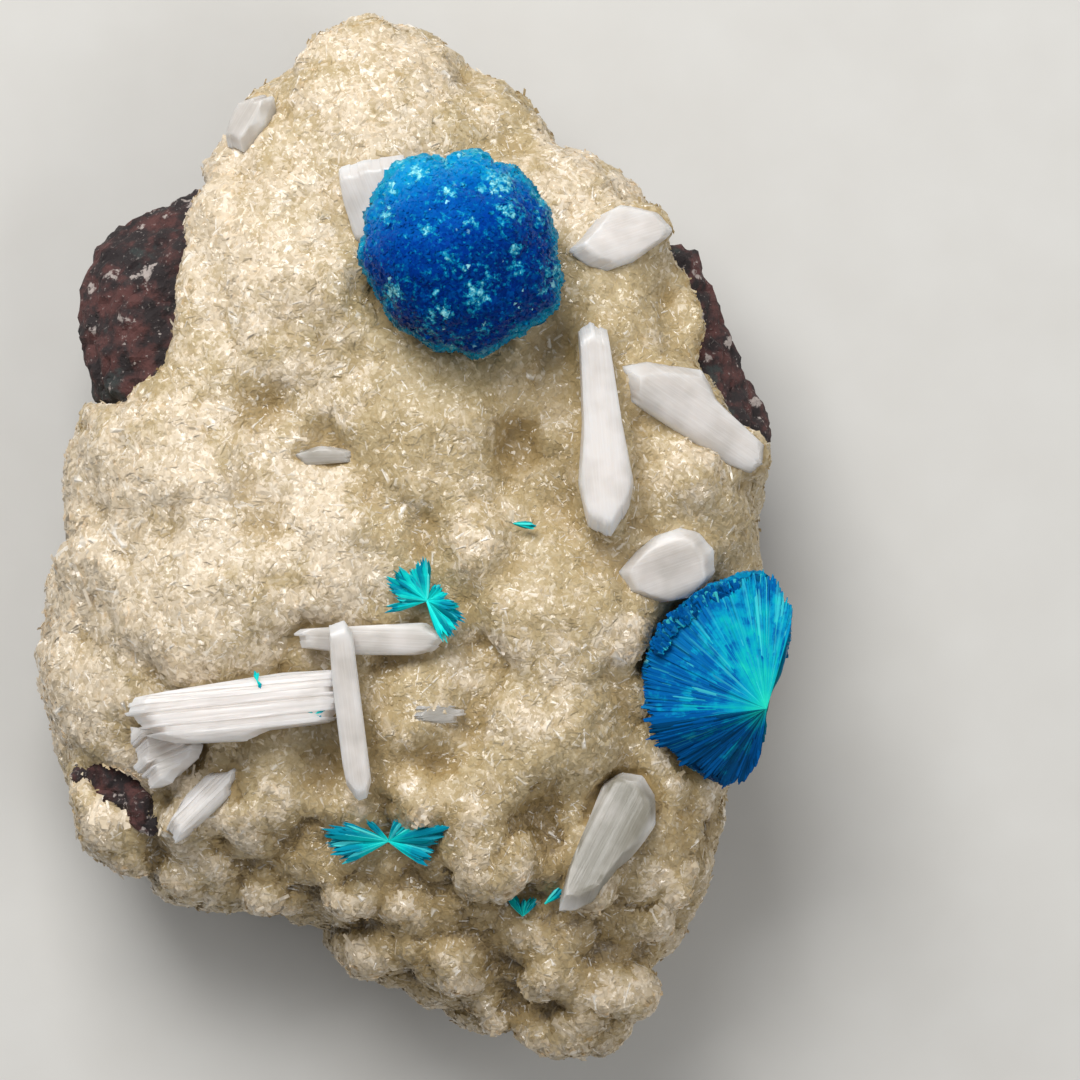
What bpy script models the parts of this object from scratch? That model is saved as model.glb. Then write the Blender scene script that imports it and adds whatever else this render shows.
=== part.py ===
"""Cavansite on matrix: a hand specimen that lies on its sawn back.

A slab of red-brown basalt carries a lumpy crust of fine stilbite druse. Larger white stilbite
blades, a whole blue cavansite ball, a broken half ball and small bow-tie sprays grow out of it.

+X is the right of the display face, +Y its top and +Z points out of it. The flat back rests on
z = 0. Sizes and places are in millimetres, and MM turns them to Blender's metres.
"""

import math

import bmesh
import bpy
import numpy as np
from mathutils import Matrix, Vector, noise
from mathutils.bvhtree import BVHTree

# ---------------------------------------------------------------- driving dimensions
MM = 0.001
GAP = 0.35  # clearance that neighbouring solids keep
FACE_HEIGHT = 20.0  # the display face above the back
CRUST_THICKNESS = 3.2
BASALT_RIM_DROP = 2.0  # the basalt's widest line lies this far below the crust's
BALL_RADIUS = 6.35
EDGE_POWER = 3.0  # how squarely the face turns over into the sides
CRUST_HEM_SHARE = 1 / 3  # the crust's underside is level from this share of the way round to the back
CRUST_HEM_TAPER = 0.06  # how far the hem draws in, as a share of the reach
BASALT_BACK_SHARE = 0.69  # likewise, where the basalt's skin meets the flat back
BASALT_BACK_TAPER = 0.10

TAIL_START_Y = -17.0  # below this line the face falls away towards the lower tip
TAIL_LENGTH = 17.0
TAIL_DROP = 7.0
CROWN_START_Y = 20.0  # above this line it falls away towards the upper tip
CROWN_LENGTH = 15.0
CROWN_DROP = 3.0

BUMP_ALLOWANCE = 0.35  # how far the knobs stand out past the smooth skin

# Plan outline of the crust over its knobs, counter-clockwise from +X.
CRUST_OUTLINE = [
    (22.4, 0.0), (22.5, 2.4), (23.2, 5.6), (20.5, 8.0), (18.8, 10.4), (17.8, 13.0), (17.3, 16.0),
    (17.0, 18.8), (15.5, 21.3), (11.2, 24.8), (8.5, 26.1), (8.1, 27.1), (6.2, 29.0), (3.3, 30.3),
    (-1.0, 33.6), (-3.5, 34.0), (-5.9, 33.5), (-8.1, 30.4), (-9.4, 29.2), (-11.4, 28.4), (-11.7, 26.4),
    (-15.6, 21.5), (-19.8, 17.9), (-21.3, 15.5), (-20.9, 9.3), (-22.3, 7.3), (-22.8, 1.0), (-23.9, -2.5),
    (-24.2, -10.8), (-22.5, -16.4), (-21.5, -19.3), (-19.2, -21.4), (-17.0, -21.2), (-15.0, -23.8),
    (-12.6, -23.3), (-8.6, -24.5), (-6.6, -24.1), (-4.9, -27.1), (-2.9, -28.6), (0.0, -29.6),
    (3.4, -31.3), (7.0, -32.8), (12.0, -33.9), (14.0, -32.3), (15.0, -28.1), (17.9, -23.9),
    (18.9, -20.9), (20.2, -16.4), (21.6, -12.0), (22.2, -6.0),
]  # fmt: skip

# Around the stone: (angle in degrees, height) of the crust's widest line and of its lower hem.
CRUST_RIM = [
    (0, 11.0), (30, 13.5), (60, 11.5), (95, 9.5), (140, 9.5), (180, 9.5), (230, 8.5), (270, 8.0), (320, 9.0),
]  # fmt: skip
CRUST_HEM = [
    (0, 7.5), (20, 10.5), (45, 10.5), (70, 8.0), (100, 6.5), (150, 5.5), (200, 6.5), (250, 4.5), (290, 4.0),
    (320, 6.0),
]  # fmt: skip
# (angle, distance) by which the basalt stands outside or inside of the crust's outline.
BASALT_STEP = [
    (0, -2.0), (12, -1.0), (16, 1.2), (24, 2.5), (38, 2.9), (46, 2.3), (50, -0.4), (60, -2.0), (114, -2.0),
    (120, -0.3), (126, 1.2), (140, 1.5), (154, 1.4), (162, -2.0), (214, -1.4), (224, -1.0), (234, -2.0),
]  # fmt: skip
# Flat breaks round the back: azimuth and elevation of the normal, distance from the stone's middle.
CHIPS = [
    (20, -34, 21.5), (75, -42, 21.2), (118, -36, 25.0), (165, -40, 18.6), (205, -30, 21.5), (248, -44, 20.3),
    (292, -38, 26.5), (335, -46, 16.3),
]  # fmt: skip
STONE_MIDDLE = (0.0, 0.0, 9.0)

# Rounded masses of the druse: (x, y, radius, rise).
LUMPS = [
    (-3.1, 28.2, 5.6, 1.6), (-11.1, 21.6, 4.2, 1.2), (11.9, 22.2, 3.6, 0.9), (-7.2, 15.0, 5.0, 1.6),
    (14.5, 14.5, 3.8, 1.2), (18.0, 3.4, 3.0, 2.2), (1.8, 5.7, 4.4, 1.8), (3.8, 0.0, 2.9, 2.6),
    (-5.3, -1.4, 4.6, 1.4), (-16.2, 4.2, 5.0, 1.9), (-13.6, -4.2, 5.6, 1.9), (8.8, -5.3, 5.0, 2.3),
    (8.2, -12.4, 4.2, 2.2), (0.2, -11.2, 3.2, 1.7), (3.9, -17.1, 2.6, 1.9), (4.8, -20.7, 2.6, 2.4),
    (-0.2, -17.0, 1.9, 1.9), (-10.6, -16.6, 3.4, 1.4), (11.0, -30.5, 2.7, 2.2), (8.2, -27.2, 2.3, 1.6),
    (15.8, -21.1, 3.1, 1.4), (-5.3, -21.6, 2.2, 1.3), (-13.9, -21.6, 1.9, 1.4), (-19.2, -18.4, 2.6, 1.2),
    (20.5, -9.0, 5.5, 2.2), (13.2, -6.5, 2.2, 1.7), (-20.6, -1.4, 3.2, 1.2), (0.4, -25.6, 2.6, 1.3),
]  # fmt: skip
# Hollows between them: (x, y, radius, depth).
HOLLOWS = [
    (-9.2, 8.2, 2.4, 1.6), (-5.6, 6.0, 2.2, 1.4), (6.8, 5.9, 2.4, 2.0), (8.3, 2.2, 2.4, 2.0),
    (9.2, 12.0, 3.6, 1.5), (-2.0, -8.6, 1.8, 1.2), (1.2, -14.6, 2.2, 1.8), (-5.6, -14.2, 2.4, 1.9),
    (-11.4, -15.0, 2.0, 1.6), (14.2, -10.3, 2.2, 2.0), (8.8, -18.2, 2.2, 2.0), (14.4, -14.6, 2.2, 1.4),
    (-3.4, -24.6, 2.4, 2.2), (11.4, -25.6, 2.0, 1.5), (16.2, 7.6, 1.8, 1.4),
]  # fmt: skip

# Places where the crust is missing and the basalt shows: plan outlines.
LEFT_WINDOW = [
    (-12.9, 23.4), (-14.8, 20.6), (-15.1, 18.0), (-15.4, 15.2), (-16.0, 12.2), (-17.1, 10.4), (-18.4, 9.2),
    (-20.3, 8.9), (-23.5, 9.4), (-23.5, 17.0), (-20.5, 21.0), (-15.5, 24.5),
]  # fmt: skip
LOWER_WINDOW = [
    (-21.7, -14.5), (-19.6, -14.2), (-18.0, -15.2), (-16.4, -18.0), (-18.0, -17.7), (-19.0, -18.6),
    (-20.6, -17.2),
]  # fmt: skip
# (height, size of the opening there): the left one gapes down to the back, the lower one is a pit.
LEFT_WINDOW_LEVELS = [(-1.0, 1.35), (3.5, 1.22), (7.5, 1.12), (12.0, 1.0), (17.0, 1.0), (24.0, 1.0)]
LOWER_WINDOW_LEVELS = [(8.0, 0.8), (12.0, 0.95), (16.0, 1.0), (24.0, 1.05)]
WINDOW_RAGGEDNESS = 0.45

# Stilbite blades: plan outline, lift of the mid plane above the druse, thickness, tilt about X and Y.
BLADES = {
    "stilbite_upright": (
        [(10.5, 13.2), (11.3, 13.8), (12.4, 13.3), (13.2, 8.1), (14.1, 3.4), (13.8, 1.9), (12.6, -0.1),
         (11.1, 0.7), (10.5, 3.5), (10.8, 7.9)],
        0.9, 2.6, (-4.0, 3.0),
    ),
    "stilbite_right_blade": (
        [(13.0, 11.0), (14.7, 11.3), (18.3, 10.8), (19.6, 8.6), (21.4, 7.1), (22.8, 5.9), (22.8, 4.6),
         (22.0, 4.0), (20.4, 4.5), (17.2, 6.5), (14.6, 8.3), (13.2, 8.9)],
        0.3, 2.8, (10.0, 16.0),
    ),
    "stilbite_upper_right": (
        [(9.7, 18.3), (10.7, 19.2), (11.8, 20.6), (13.4, 21.4), (15.8, 20.9), (16.8, 19.7),
         (16.2, 19.1), (14.0, 17.6), (12.3, 17.0), (11.0, 17.3)],
        1.0, 2.4, (-10.0, 14.0),
    ),
    "stilbite_by_half_ball": (
        [(13.1, -2.2), (14.2, -0.9), (15.4, 0.1), (16.9, 0.7), (18.2, 0.4), (19.2, -0.7), (19.3, -2.3),
         (18.0, -3.8), (15.8, -4.2), (13.7, -3.5)],
        0.2, 2.2, (8.0, 2.0),
    ),
    "stilbite_club": (
        [(12.1, -15.7), (13.3, -14.9), (14.7, -15.1), (15.5, -16.5), (15.5, -18.4), (14.1, -20.4),
         (12.5, -21.7), (11.7, -23.3), (10.3, -24.0), (9.2, -24.0), (9.9, -21.3), (11.0, -18.6)],
        0.7, 2.6, (-16.0, 0.0),
    ),
    "stilbite_lower_left": (
        [(-11.0, -14.5), (-12.9, -14.9), (-14.8, -16.8), (-15.9, -18.8), (-15.2, -19.7), (-13.2, -18.0),
         (-11.5, -16.3)],
        0.3, 1.8, (-12.0, -8.0),
    ),
    "stilbite_behind_ball": (
        [(-4.9, 23.7), (-3.2, 24.2), (-0.6, 24.5), (0.6, 22.6), (-1.4, 18.4), (-3.6, 18.6), (-4.5, 21.6)],
        0.2, 2.2, (4.0, -10.0),
    ),
    "stilbite_upper_edge": (
        [(-11.9, 25.0), (-11.6, 27.2), (-11.2, 28.4), (-10.1, 28.6), (-9.0, 28.6), (-9.4, 26.6),
         (-10.6, 24.7)],
        0.3, 1.8, (-20.0, -34.0),
    ),
    "stilbite_mid_left": (
        [(-7.9, 5.4), (-5.9, 5.9), (-3.9, 5.6), (-3.6, 4.9), (-7.2, 4.6)],
        0.2, 1.2, (6.0, 0.0),
    ),
}  # fmt: skip
# Blades that grew through each other, fused into one solid.
CROSSED_BLADES = {
    "long_left": (
        [(-18.4, -11.2), (-18.1, -10.2), (-14.5, -9.6), (-8.4, -8.6), (-4.2, -8.4), (-4.0, -10.6),
         (-4.9, -11.8), (-7.6, -11.8), (-10.5, -13.0), (-15.3, -13.2), (-17.2, -12.7)],
        1.5, 2.8, (-6.0, 3.0),
    ),
    "upright": (
        [(-5.4, -5.6), (-4.4, -5.2), (-3.8, -6.1), (-3.3, -10.4), (-2.6, -15.4), (-2.9, -16.6),
         (-3.5, -16.8), (-4.3, -15.7), (-4.9, -11.5), (-5.2, -8.5)],
        1.9, 1.5, (3.0, 2.0),
    ),
    "cross_bar": (
        [(-7.7, -6.1), (-7.2, -5.8), (0.8, -5.4), (2.3, -6.4), (1.4, -7.2), (0.7, -7.5), (-3.5, -7.5),
         (-7.4, -7.0)],
        0.9, 1.5, (-4.0, -2.0),
    ),
    "left_base": (
        [(-18.2, -12.0), (-13.2, -12.2), (-13.6, -14.0), (-15.4, -15.8), (-16.9, -16.2), (-18.0, -14.8)],
        0.3, 2.2, (-20.0, 0.0),
    ),
}  # fmt: skip
BLADE_BEVEL = 0.35

# Cavansite ball and half ball.
BALL_CENTRE = (3.0, 18.1, 22.4)
HALF_BALL_NUCLEUS = (22.5, -10.9, 22.0)
# The half ball's fan: (angle in degrees, reach, fall of its broken face per mm of reach).
HALF_BALL_FAN = [
    (-96, 2.4, 0.30), (-60, 0.5, 0.30), (0, 0.5, 0.10), (50, 0.7, 0.10), (70, 5.4, 0.10), (79, 7.3, 0.12),
    (88, 8.8, 0.14), (103, 9.0, 0.18), (122, 8.6, 0.22), (140, 8.9, 0.26), (155, 8.7, 0.30), (168, 8.3, 0.34),
    (182, 7.6, 0.34), (193, 7.2, 0.26), (202, 7.0, 0.52), (212, 6.8, 0.70), (228, 6.0, 0.85),
    (243, 6.2, 0.90), (252, 5.1, 0.85), (260, 3.6, 0.60),
]  # fmt: skip
HALF_BALL_DEPTH = 6.2
HALF_BALL_FLATNESS = 0.8  # below 1 the fan's rim turns over sharply into the belly
HALF_BALL_RIB = 0.35  # height of the fan's ribs at the rim
HALF_BALL_RIB_REACH = 0.06  # how much further a rib reaches, as a share
HALF_BALL_SEGMENTS = 44
HALF_BALL_RINGS = 9

# Bow-tie sprays: nucleus, lift above the druse, blades as (angle, length, tip width, rise in degrees).
SPRAYS = {
    "cavansite_bow_tie_upper": (
        (0.9, -4.0), 1.1,
        [(99, 2.7, 1.1, 12), (117, 2.2, 1.2, 4), (133, 2.9, 1.2, 9), (150, 3.0, 1.1, 2), (163, 2.4, 0.9, 8),
         (193, 2.8, 0.7, 3), (298, 2.9, 1.0, 14), (315, 2.8, 1.0, 5), (332, 2.9, 0.9, 1), (350, 2.0, 0.9, 6),
         (50, 1.3, 0.8, 4)],
    ),
    "cavansite_bow_tie_lower": (
        (-1.6, -19.4), 1.0,
        [(172, 4.2, 1.3, 6), (184, 3.9, 1.2, 2), (196, 3.5, 1.2, 10), (160, 2.9, 0.8, 3), (136, 2.0, 0.6, 12),
         (63, 1.9, 0.7, 16), (44, 2.0, 0.7, 8), (22, 4.3, 1.1, 12), (12, 3.9, 1.1, 3), (2, 3.2, 0.9, 7),
         (338, 2.9, 1.1, 2)],
    ),
    "cavansite_sprig_lower": (
        (7.0, -24.3), 0.5,
        [(55, 1.5, 0.7, 12), (84, 1.2, 0.6, 20), (122, 1.7, 0.8, 8)],
    ),
    "cavansite_prism_lower": ((8.4, -23.5), 0.5, [(40, 1.6, 0.7, 10)]),
    "cavansite_prism_middle": ((6.4, 0.9), 0.3, [(-6, 1.5, 0.6, 8)]),
}  # fmt: skip
SPRAY_THICKNESS = 0.8
SPRAY_NOTCH = 0.55  # how far out neighbouring blades part, as a share of the shorter
SPRAY_WAIST = 0.4  # half width of the bare waist
SPRAY_OPEN_ANGLE = 50.0  # gaps between blades wider than this are the waist's sides
SPRAY_SHOULDER = 0.92  # where a blade's point begins, as a share of its length
SPRAY_FILL = 0.42  # the most of the angle between two blades that either fills

# Mesh density.
WELD = 0.001
STONE_SUBDIVISIONS = 6
CRUST_TRIANGLES = 2800
BASALT_TRIANGLES = 900
BALL_TRIANGLES = 900
BALL_SUBDIVISIONS = 4


# ---------------------------------------------------------------- scene and materials
def clear_scene():
    for old in list(bpy.data.objects):
        bpy.data.objects.remove(old)


def collection(name, hidden=False):
    made = bpy.data.collections.new(name)
    made.hide_render = hidden
    bpy.context.scene.collection.children.link(made)
    return made


def finish(name, colour, roughness, metallic=0.0):
    """A Principled material."""
    material = bpy.data.materials.new(name)
    material.use_nodes = True
    shader = material.node_tree.nodes["Principled BSDF"]
    shader.inputs["Base Color"].default_value = (*colour, 1.0)
    shader.inputs["Roughness"].default_value = roughness
    shader.inputs["Metallic"].default_value = metallic
    return material


# ---------------------------------------------------------------- small mesh helpers
def object_of(name, mesh, home, material=None):
    made = bpy.data.objects.new(name, mesh)
    if material:
        mesh.materials.clear()
        mesh.materials.append(material)
    home.objects.link(made)
    return made


def mesh_of(name, bm):
    mesh = bpy.data.meshes.new(name)
    bm.to_mesh(mesh)
    bm.free()
    return mesh


def settled(made, home, material=None):
    """The object as its modifiers leave it, made one clean welded mesh; the old object goes."""
    name = made.name
    bpy.context.view_layer.update()
    graph = bpy.context.evaluated_depsgraph_get()
    mesh = bpy.data.meshes.new_from_object(made.evaluated_get(graph))
    mesh.transform(made.matrix_world)
    bpy.data.objects.remove(made)
    bm = bmesh.new()
    bm.from_mesh(mesh)
    bmesh.ops.remove_doubles(bm, verts=bm.verts, dist=WELD * MM)
    keep_largest_island(bm)
    bmesh.ops.triangulate(bm, faces=bm.faces)
    bm.to_mesh(mesh)
    bm.free()
    return object_of(name, mesh, home, material)


def keep_largest_island(bm):
    """Drops the loose crumbs that a cut can leave."""
    islands = []
    unseen = set(bm.verts)
    while unseen:
        start = unseen.pop()
        island = {start}
        edge = [start]
        while edge:
            vert = edge.pop()
            for near in (link.other_vert(vert) for link in vert.link_edges):
                if near in unseen:
                    unseen.discard(near)
                    island.add(near)
                    edge.append(near)
        islands.append(island)
    islands.sort(key=len)
    for island in islands[:-1]:
        bmesh.ops.delete(bm, geom=list(island), context="VERTS")


def modifier(made, kind, **settings):
    added = made.modifiers.new(kind.title(), kind)
    for key, value in settings.items():
        setattr(added, key, value)
    return added


def thin_out(made, triangles):
    """Leaves about this many triangles, most of them where the surface turns."""
    modifier(made, "DECIMATE", ratio=triangles / len(made.data.polygons))


def cut_away(made, cutter):
    """Takes the cutter's space out of a solid; the rough skins here are too ragged for EXACT."""
    modifier(made, "BOOLEAN", operation="DIFFERENCE", object=cutter, solver="MANIFOLD")


def seat(made, home, hull=True):
    """A hidden cutter: the room that a solid takes, its hull if it is a crystal, with the gap round it."""
    bm = bmesh.new()
    if hull:
        for vert in made.data.vertices:
            bm.verts.new(vert.co)
        bmesh.ops.convex_hull(bm, input=bm.verts)
        bmesh.ops.delete(bm, geom=[v for v in bm.verts if not v.link_faces], context="VERTS")
    else:
        bm.from_mesh(made.data)
    bm.normal_update()
    for vert, move in [(v, v.normal * min(v.calc_shell_factor(), 2.0) * GAP * MM) for v in bm.verts]:
        vert.co += move
    cutter = object_of(made.name + "_seat", mesh_of(made.name + "_seat", bm), home)
    cutter.hide_render = True
    cutter.display_type = "WIRE"
    return cutter


def boxes_meet(first, second):
    """Whether the boxes of two unmoved objects share any room."""
    spans = []
    for made in (first, second):
        corners = np.array(made.bound_box)
        spans.append((corners.min(axis=0), corners.max(axis=0)))
    (low_a, high_a), (low_b, high_b) = spans
    return bool(np.all(low_a < high_b) and np.all(low_b < high_a))


def blob(subdivisions, place):
    """A closed mesh: an icosphere whose vertices are moved to place(directions), given in mm."""
    bm = bmesh.new()
    bmesh.ops.create_icosphere(bm, subdivisions=subdivisions, radius=1.0)
    directions = np.array([v.co for v in bm.verts])
    for vert, point in zip(bm.verts, place(directions)):
        vert.co = Vector(point) * MM
    bmesh.ops.recalc_face_normals(bm, faces=bm.faces)
    bm.normal_update()
    return bm


def push(bm, amount_at):
    """Moves each vertex along its normal by amount_at(point in mm), in mm."""
    moves = [(v, v.normal * amount_at(v.co / MM) * MM) for v in bm.verts]
    for vert, move in moves:
        vert.co += move
    bm.normal_update()


def knobs(cell, height, point, shift=0.0):
    """Packed round knobs of the given cell size: height at a knob's middle, and none between."""
    nearest = noise.voronoi(point / cell + Vector((shift, shift, shift)))[0][0]
    return height * (math.sqrt(max(0.0, 1.0 - (nearest / 0.8) ** 2)) - 0.55)


# ---------------------------------------------------------------- the stone
def around(table, angle):
    """Reads a (degrees, value) table at an angle in radians, joined round the full turn."""
    degrees, values = np.array(table, float).T[:2]
    return np.interp(np.degrees(angle), degrees, values, period=360.0)


def outline_reach(angle):
    points = np.array(CRUST_OUTLINE)
    angles = np.arctan2(points[:, 1], points[:, 0])
    return np.interp(angle, angles, np.hypot(*points.T), period=2 * math.pi) - BUMP_ALLOWANCE


def smooth_step(share):
    share = np.clip(share, 0.0, 1.0)
    return share * share * (3 - 2 * share)


def broad_face(y):
    """Height of the display face before its lumps: it falls away at both tips."""
    tail = TAIL_DROP * smooth_step((TAIL_START_Y - y) / TAIL_LENGTH)
    crown = CROWN_DROP * smooth_step((y - CROWN_START_Y) / CROWN_LENGTH)
    return FACE_HEIGHT - tail - crown


def relief(x, y):
    """The named lumps and hollows of the druse."""
    rise = np.zeros_like(x)
    for cx, cy, radius, height in LUMPS:
        share = 1 - ((x - cx) ** 2 + (y - cy) ** 2) / radius**2
        rise = np.maximum(rise, height * np.sqrt(np.clip(share, 0, 1)))
    for cx, cy, radius, depth in HOLLOWS:
        share = 1 - ((x - cx) ** 2 + (y - cy) ** 2) / radius**2
        rise -= depth * np.clip(share, 0, 1) ** 1.5
    return rise


def plan_and_profile(directions):
    """Angle, share of the outline's reach and share of the height, on a squarish dome."""
    x, y, z = directions.T
    across = np.hypot(x, y)
    size = (across**EDGE_POWER + np.abs(z) ** EDGE_POWER) ** (1 / EDGE_POWER)
    return np.arctan2(y, x), across / size, np.abs(z) / size, z > 0


def crust_skin(directions):
    angle, out, up, above = plan_and_profile(directions)
    reach = outline_reach(angle) * out
    rim, hem = around(CRUST_RIM, angle), around(CRUST_HEM, angle)
    under = np.where(above, 0.0, np.clip(up / CRUST_HEM_SHARE, 0, 1))
    reach = reach * (1 - CRUST_HEM_TAPER * under)
    x, y = reach * np.cos(angle), reach * np.sin(angle)
    top = broad_face(y) + relief(x, y)
    z = np.where(above, rim + up * (top - rim), rim - (rim - hem) * under)
    return np.stack([x, y, z], axis=1)


def basalt_skin(directions):
    angle, out, up, above = plan_and_profile(directions)
    reach = (outline_reach(angle) + around(BASALT_STEP, angle)) * out
    under = np.where(above, 0.0, up / BASALT_BACK_SHARE)
    reach = reach * (1 - BASALT_BACK_TAPER * np.clip(under, 0, 1))
    x, y = reach * np.cos(angle), reach * np.sin(angle)
    rim = around(CRUST_RIM, angle) - BASALT_RIM_DROP
    top = broad_face(y) - CRUST_THICKNESS
    z = np.where(above, rim + up * (top - rim), rim * (1 - under))
    return chipped(np.stack([x, y, z], axis=1))


def chipped(points):
    """The points brought back to the flat breaks and to the back's plane."""
    for azimuth, elevation, distance in CHIPS:
        a, e = math.radians(azimuth), math.radians(elevation)
        normal = np.array([math.cos(e) * math.cos(a), math.cos(e) * math.sin(a), math.sin(e)])
        beyond = (points - STONE_MIDDLE) @ normal - distance
        points = points - np.clip(beyond, 0, None)[:, None] * normal
    points[:, 2] = np.clip(points[:, 2], 0, None)
    return points


def fracture(point):
    """Roughness of broken basalt: steps and pits of several sizes."""
    coarse = noise.fractal(point / 7.0, 1.0, 2.1, 4)
    pits = noise.voronoi(point / 3.0)[0][0]
    return 0.75 * coarse + 0.5 * (pits - 0.5)


def basalt(home):
    bm = blob(STONE_SUBDIVISIONS, basalt_skin)
    push(bm, lambda p: fracture(p) if p.z > 0.05 else 0.0)
    for vert in bm.verts:
        vert.co.z = max(0.0, vert.co.z)
    made = object_of("basalt_matrix", mesh_of("basalt_matrix", bm), home)
    thin_out(made, BASALT_TRIANGLES)
    return settled(made, home)


def druse_skin(home):
    """The druse's outer form, before anything is cut from it."""
    bm = blob(STONE_SUBDIVISIONS, crust_skin)
    push(bm, lambda p: knobs(4.2, 0.9, p) + knobs(2.0, 0.55, p, 7.3) + 0.2 * noise.noise(p / 1.1))
    return object_of("druse_crust", mesh_of("druse_crust", bm), home)


class Ground:
    """Answers how high the druse stands at a place in plan."""

    def __init__(self, made):
        bm = bmesh.new()
        bm.from_mesh(made.data)
        self.tree = BVHTree.FromBMesh(bm)
        bm.free()

    def height(self, x, y):
        hit = self.tree.ray_cast(Vector((x * MM, y * MM, 1.0)), Vector((0, 0, -1)))[0]
        return hit.z / MM


def window(name, outline, levels, home):
    """A hidden cutter with ragged walls: its plan outline lofted through the levels."""
    middle = np.mean(outline, axis=0)
    bm = bmesh.new()
    rings = []
    for height, size in levels:
        ring = []
        for x, y in (np.array(outline) - middle) * size + middle:
            shift = noise.noise_vector(Vector((x, y, height)) / 2.3) * WINDOW_RAGGEDNESS
            ring.append(bm.verts.new(Vector((x + shift.x, y + shift.y, height)) * MM))
        rings.append(ring)
    for lower, upper in zip(rings, rings[1:]):
        for n in range(len(outline)):
            bm.faces.new((lower[n - 1], lower[n], upper[n], upper[n - 1]))
    bm.faces.new(rings[0])
    bm.faces.new(rings[-1])
    bmesh.ops.triangulate(bm, faces=bm.faces)
    bmesh.ops.recalc_face_normals(bm, faces=bm.faces)
    made = object_of(name, mesh_of(name, bm), home)
    made.hide_render = True
    made.display_type = "WIRE"
    return made


# ---------------------------------------------------------------- stilbite blades
def flat_curve(name, outline, centre, half_thickness, bevel=0.0):
    curve = bpy.data.curves.new(name, "CURVE")
    curve.dimensions = "2D"
    curve.fill_mode = "BOTH"
    curve.extrude = (half_thickness - bevel) * MM
    curve.bevel_depth = bevel * MM
    curve.bevel_resolution = 0
    curve.offset = -bevel * MM
    spline = curve.splines.new("POLY")
    spline.points.add(len(outline) - 1)
    for point, (x, y) in zip(spline.points, outline):
        point.co = ((x - centre[0]) * MM, (y - centre[1]) * MM, 0.0, 1.0)
    spline.use_cyclic_u = True
    return curve


def blade(name, outline, lift, thickness, tilt, ground, home, material):
    """A tabular crystal with chamfered edges, half sunk in the druse."""
    centre = tuple(np.mean(outline, axis=0))
    made = bpy.data.objects.new(name, flat_curve(name, outline, centre, thickness / 2, BLADE_BEVEL))
    made.location = Vector((*centre, ground.height(*centre) + lift)) * MM
    made.rotation_euler = [math.radians(t) for t in tilt] + [0.0]
    home.objects.link(made)
    return settled(made, home, material)


def fused(name, pieces, home, material):
    """One solid from pieces that grew through each other."""
    first, *others = pieces
    for other in others:
        modifier(first, "BOOLEAN", operation="UNION", object=other)
        other.hide_render = True
    made = settled(first, home, material)
    for other in others:
        bpy.data.objects.remove(other)
    made.name = name
    return made


# ---------------------------------------------------------------- cavansite
def ball(home, material):
    bm = blob(BALL_SUBDIVISIONS, lambda directions: directions * BALL_RADIUS)
    push(bm, lambda p: knobs(3.4, 0.55, p, 3.1) + knobs(1.3, 0.3, p, 1.7))
    bmesh.ops.translate(bm, verts=bm.verts, vec=Vector(BALL_CENTRE) * MM)
    made = object_of("cavansite_ball", mesh_of("cavansite_ball", bm), home)
    thin_out(made, BALL_TRIANGLES)
    return settled(made, home, material)


def half_ball(home, material):
    """A ball broken through its nucleus: a ridged fan on top, a round belly beneath."""
    fan = np.array(HALF_BALL_FAN, float)
    bm = bmesh.new()
    bmesh.ops.create_uvsphere(bm, u_segments=HALF_BALL_SEGMENTS, v_segments=HALF_BALL_RINGS, radius=1.0)
    for vert in bm.verts:
        x, y, z = vert.co
        angle = math.atan2(y, x)
        segment = round(angle / (2 * math.pi) * HALF_BALL_SEGMENTS)
        rib = noise.noise(Vector((segment * 1.7, 0.3, 0.9)))
        reach, fall = (np.interp(math.degrees(angle), fan[:, 0], fan[:, k], period=360.0) for k in (1, 2))
        out = min(1.0, math.hypot(x, y) ** HALF_BALL_FLATNESS)
        across = reach * out * (1 + HALF_BALL_RIB_REACH * rib)
        height = HALF_BALL_RIB * rib * out - fall * across - HALF_BALL_DEPTH * max(0.0, -z)
        vert.co = Vector((across * math.cos(angle), across * math.sin(angle), height)) * MM
    bmesh.ops.recalc_face_normals(bm, faces=bm.faces)
    bmesh.ops.translate(bm, verts=bm.verts, vec=Vector(HALF_BALL_NUCLEUS) * MM)
    return settled(object_of("cavansite_half_ball", mesh_of("cavansite_half_ball", bm), home), home, material)


def polar(degrees, distance):
    return distance * math.cos(math.radians(degrees)), distance * math.sin(math.radians(degrees))


def spray_outline(blades):
    """Plan outline of blades sorted by angle, each with a low point, notched between neighbours."""
    outline = []
    for n, (angle, length, width, _) in enumerate(blades):
        following = blades[(n + 1) % len(blades)]
        gap = (following[0] - angle) % 360 or 360
        before = (angle - blades[n - 1][0]) % 360 or 360
        spread = min(math.degrees(width / 2 / length), SPRAY_FILL * gap, SPRAY_FILL * before)
        shoulder = SPRAY_SHOULDER * length
        outline += [polar(angle - spread, shoulder), polar(angle, length), polar(angle + spread, shoulder)]
        if gap > SPRAY_OPEN_ANGLE:
            outline += [polar(angle + gap / 3, SPRAY_WAIST), polar(following[0] - gap / 3, SPRAY_WAIST)]
        else:
            outline.append(polar(angle + gap / 2, SPRAY_NOTCH * min(length, following[1])))
    return outline


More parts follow.
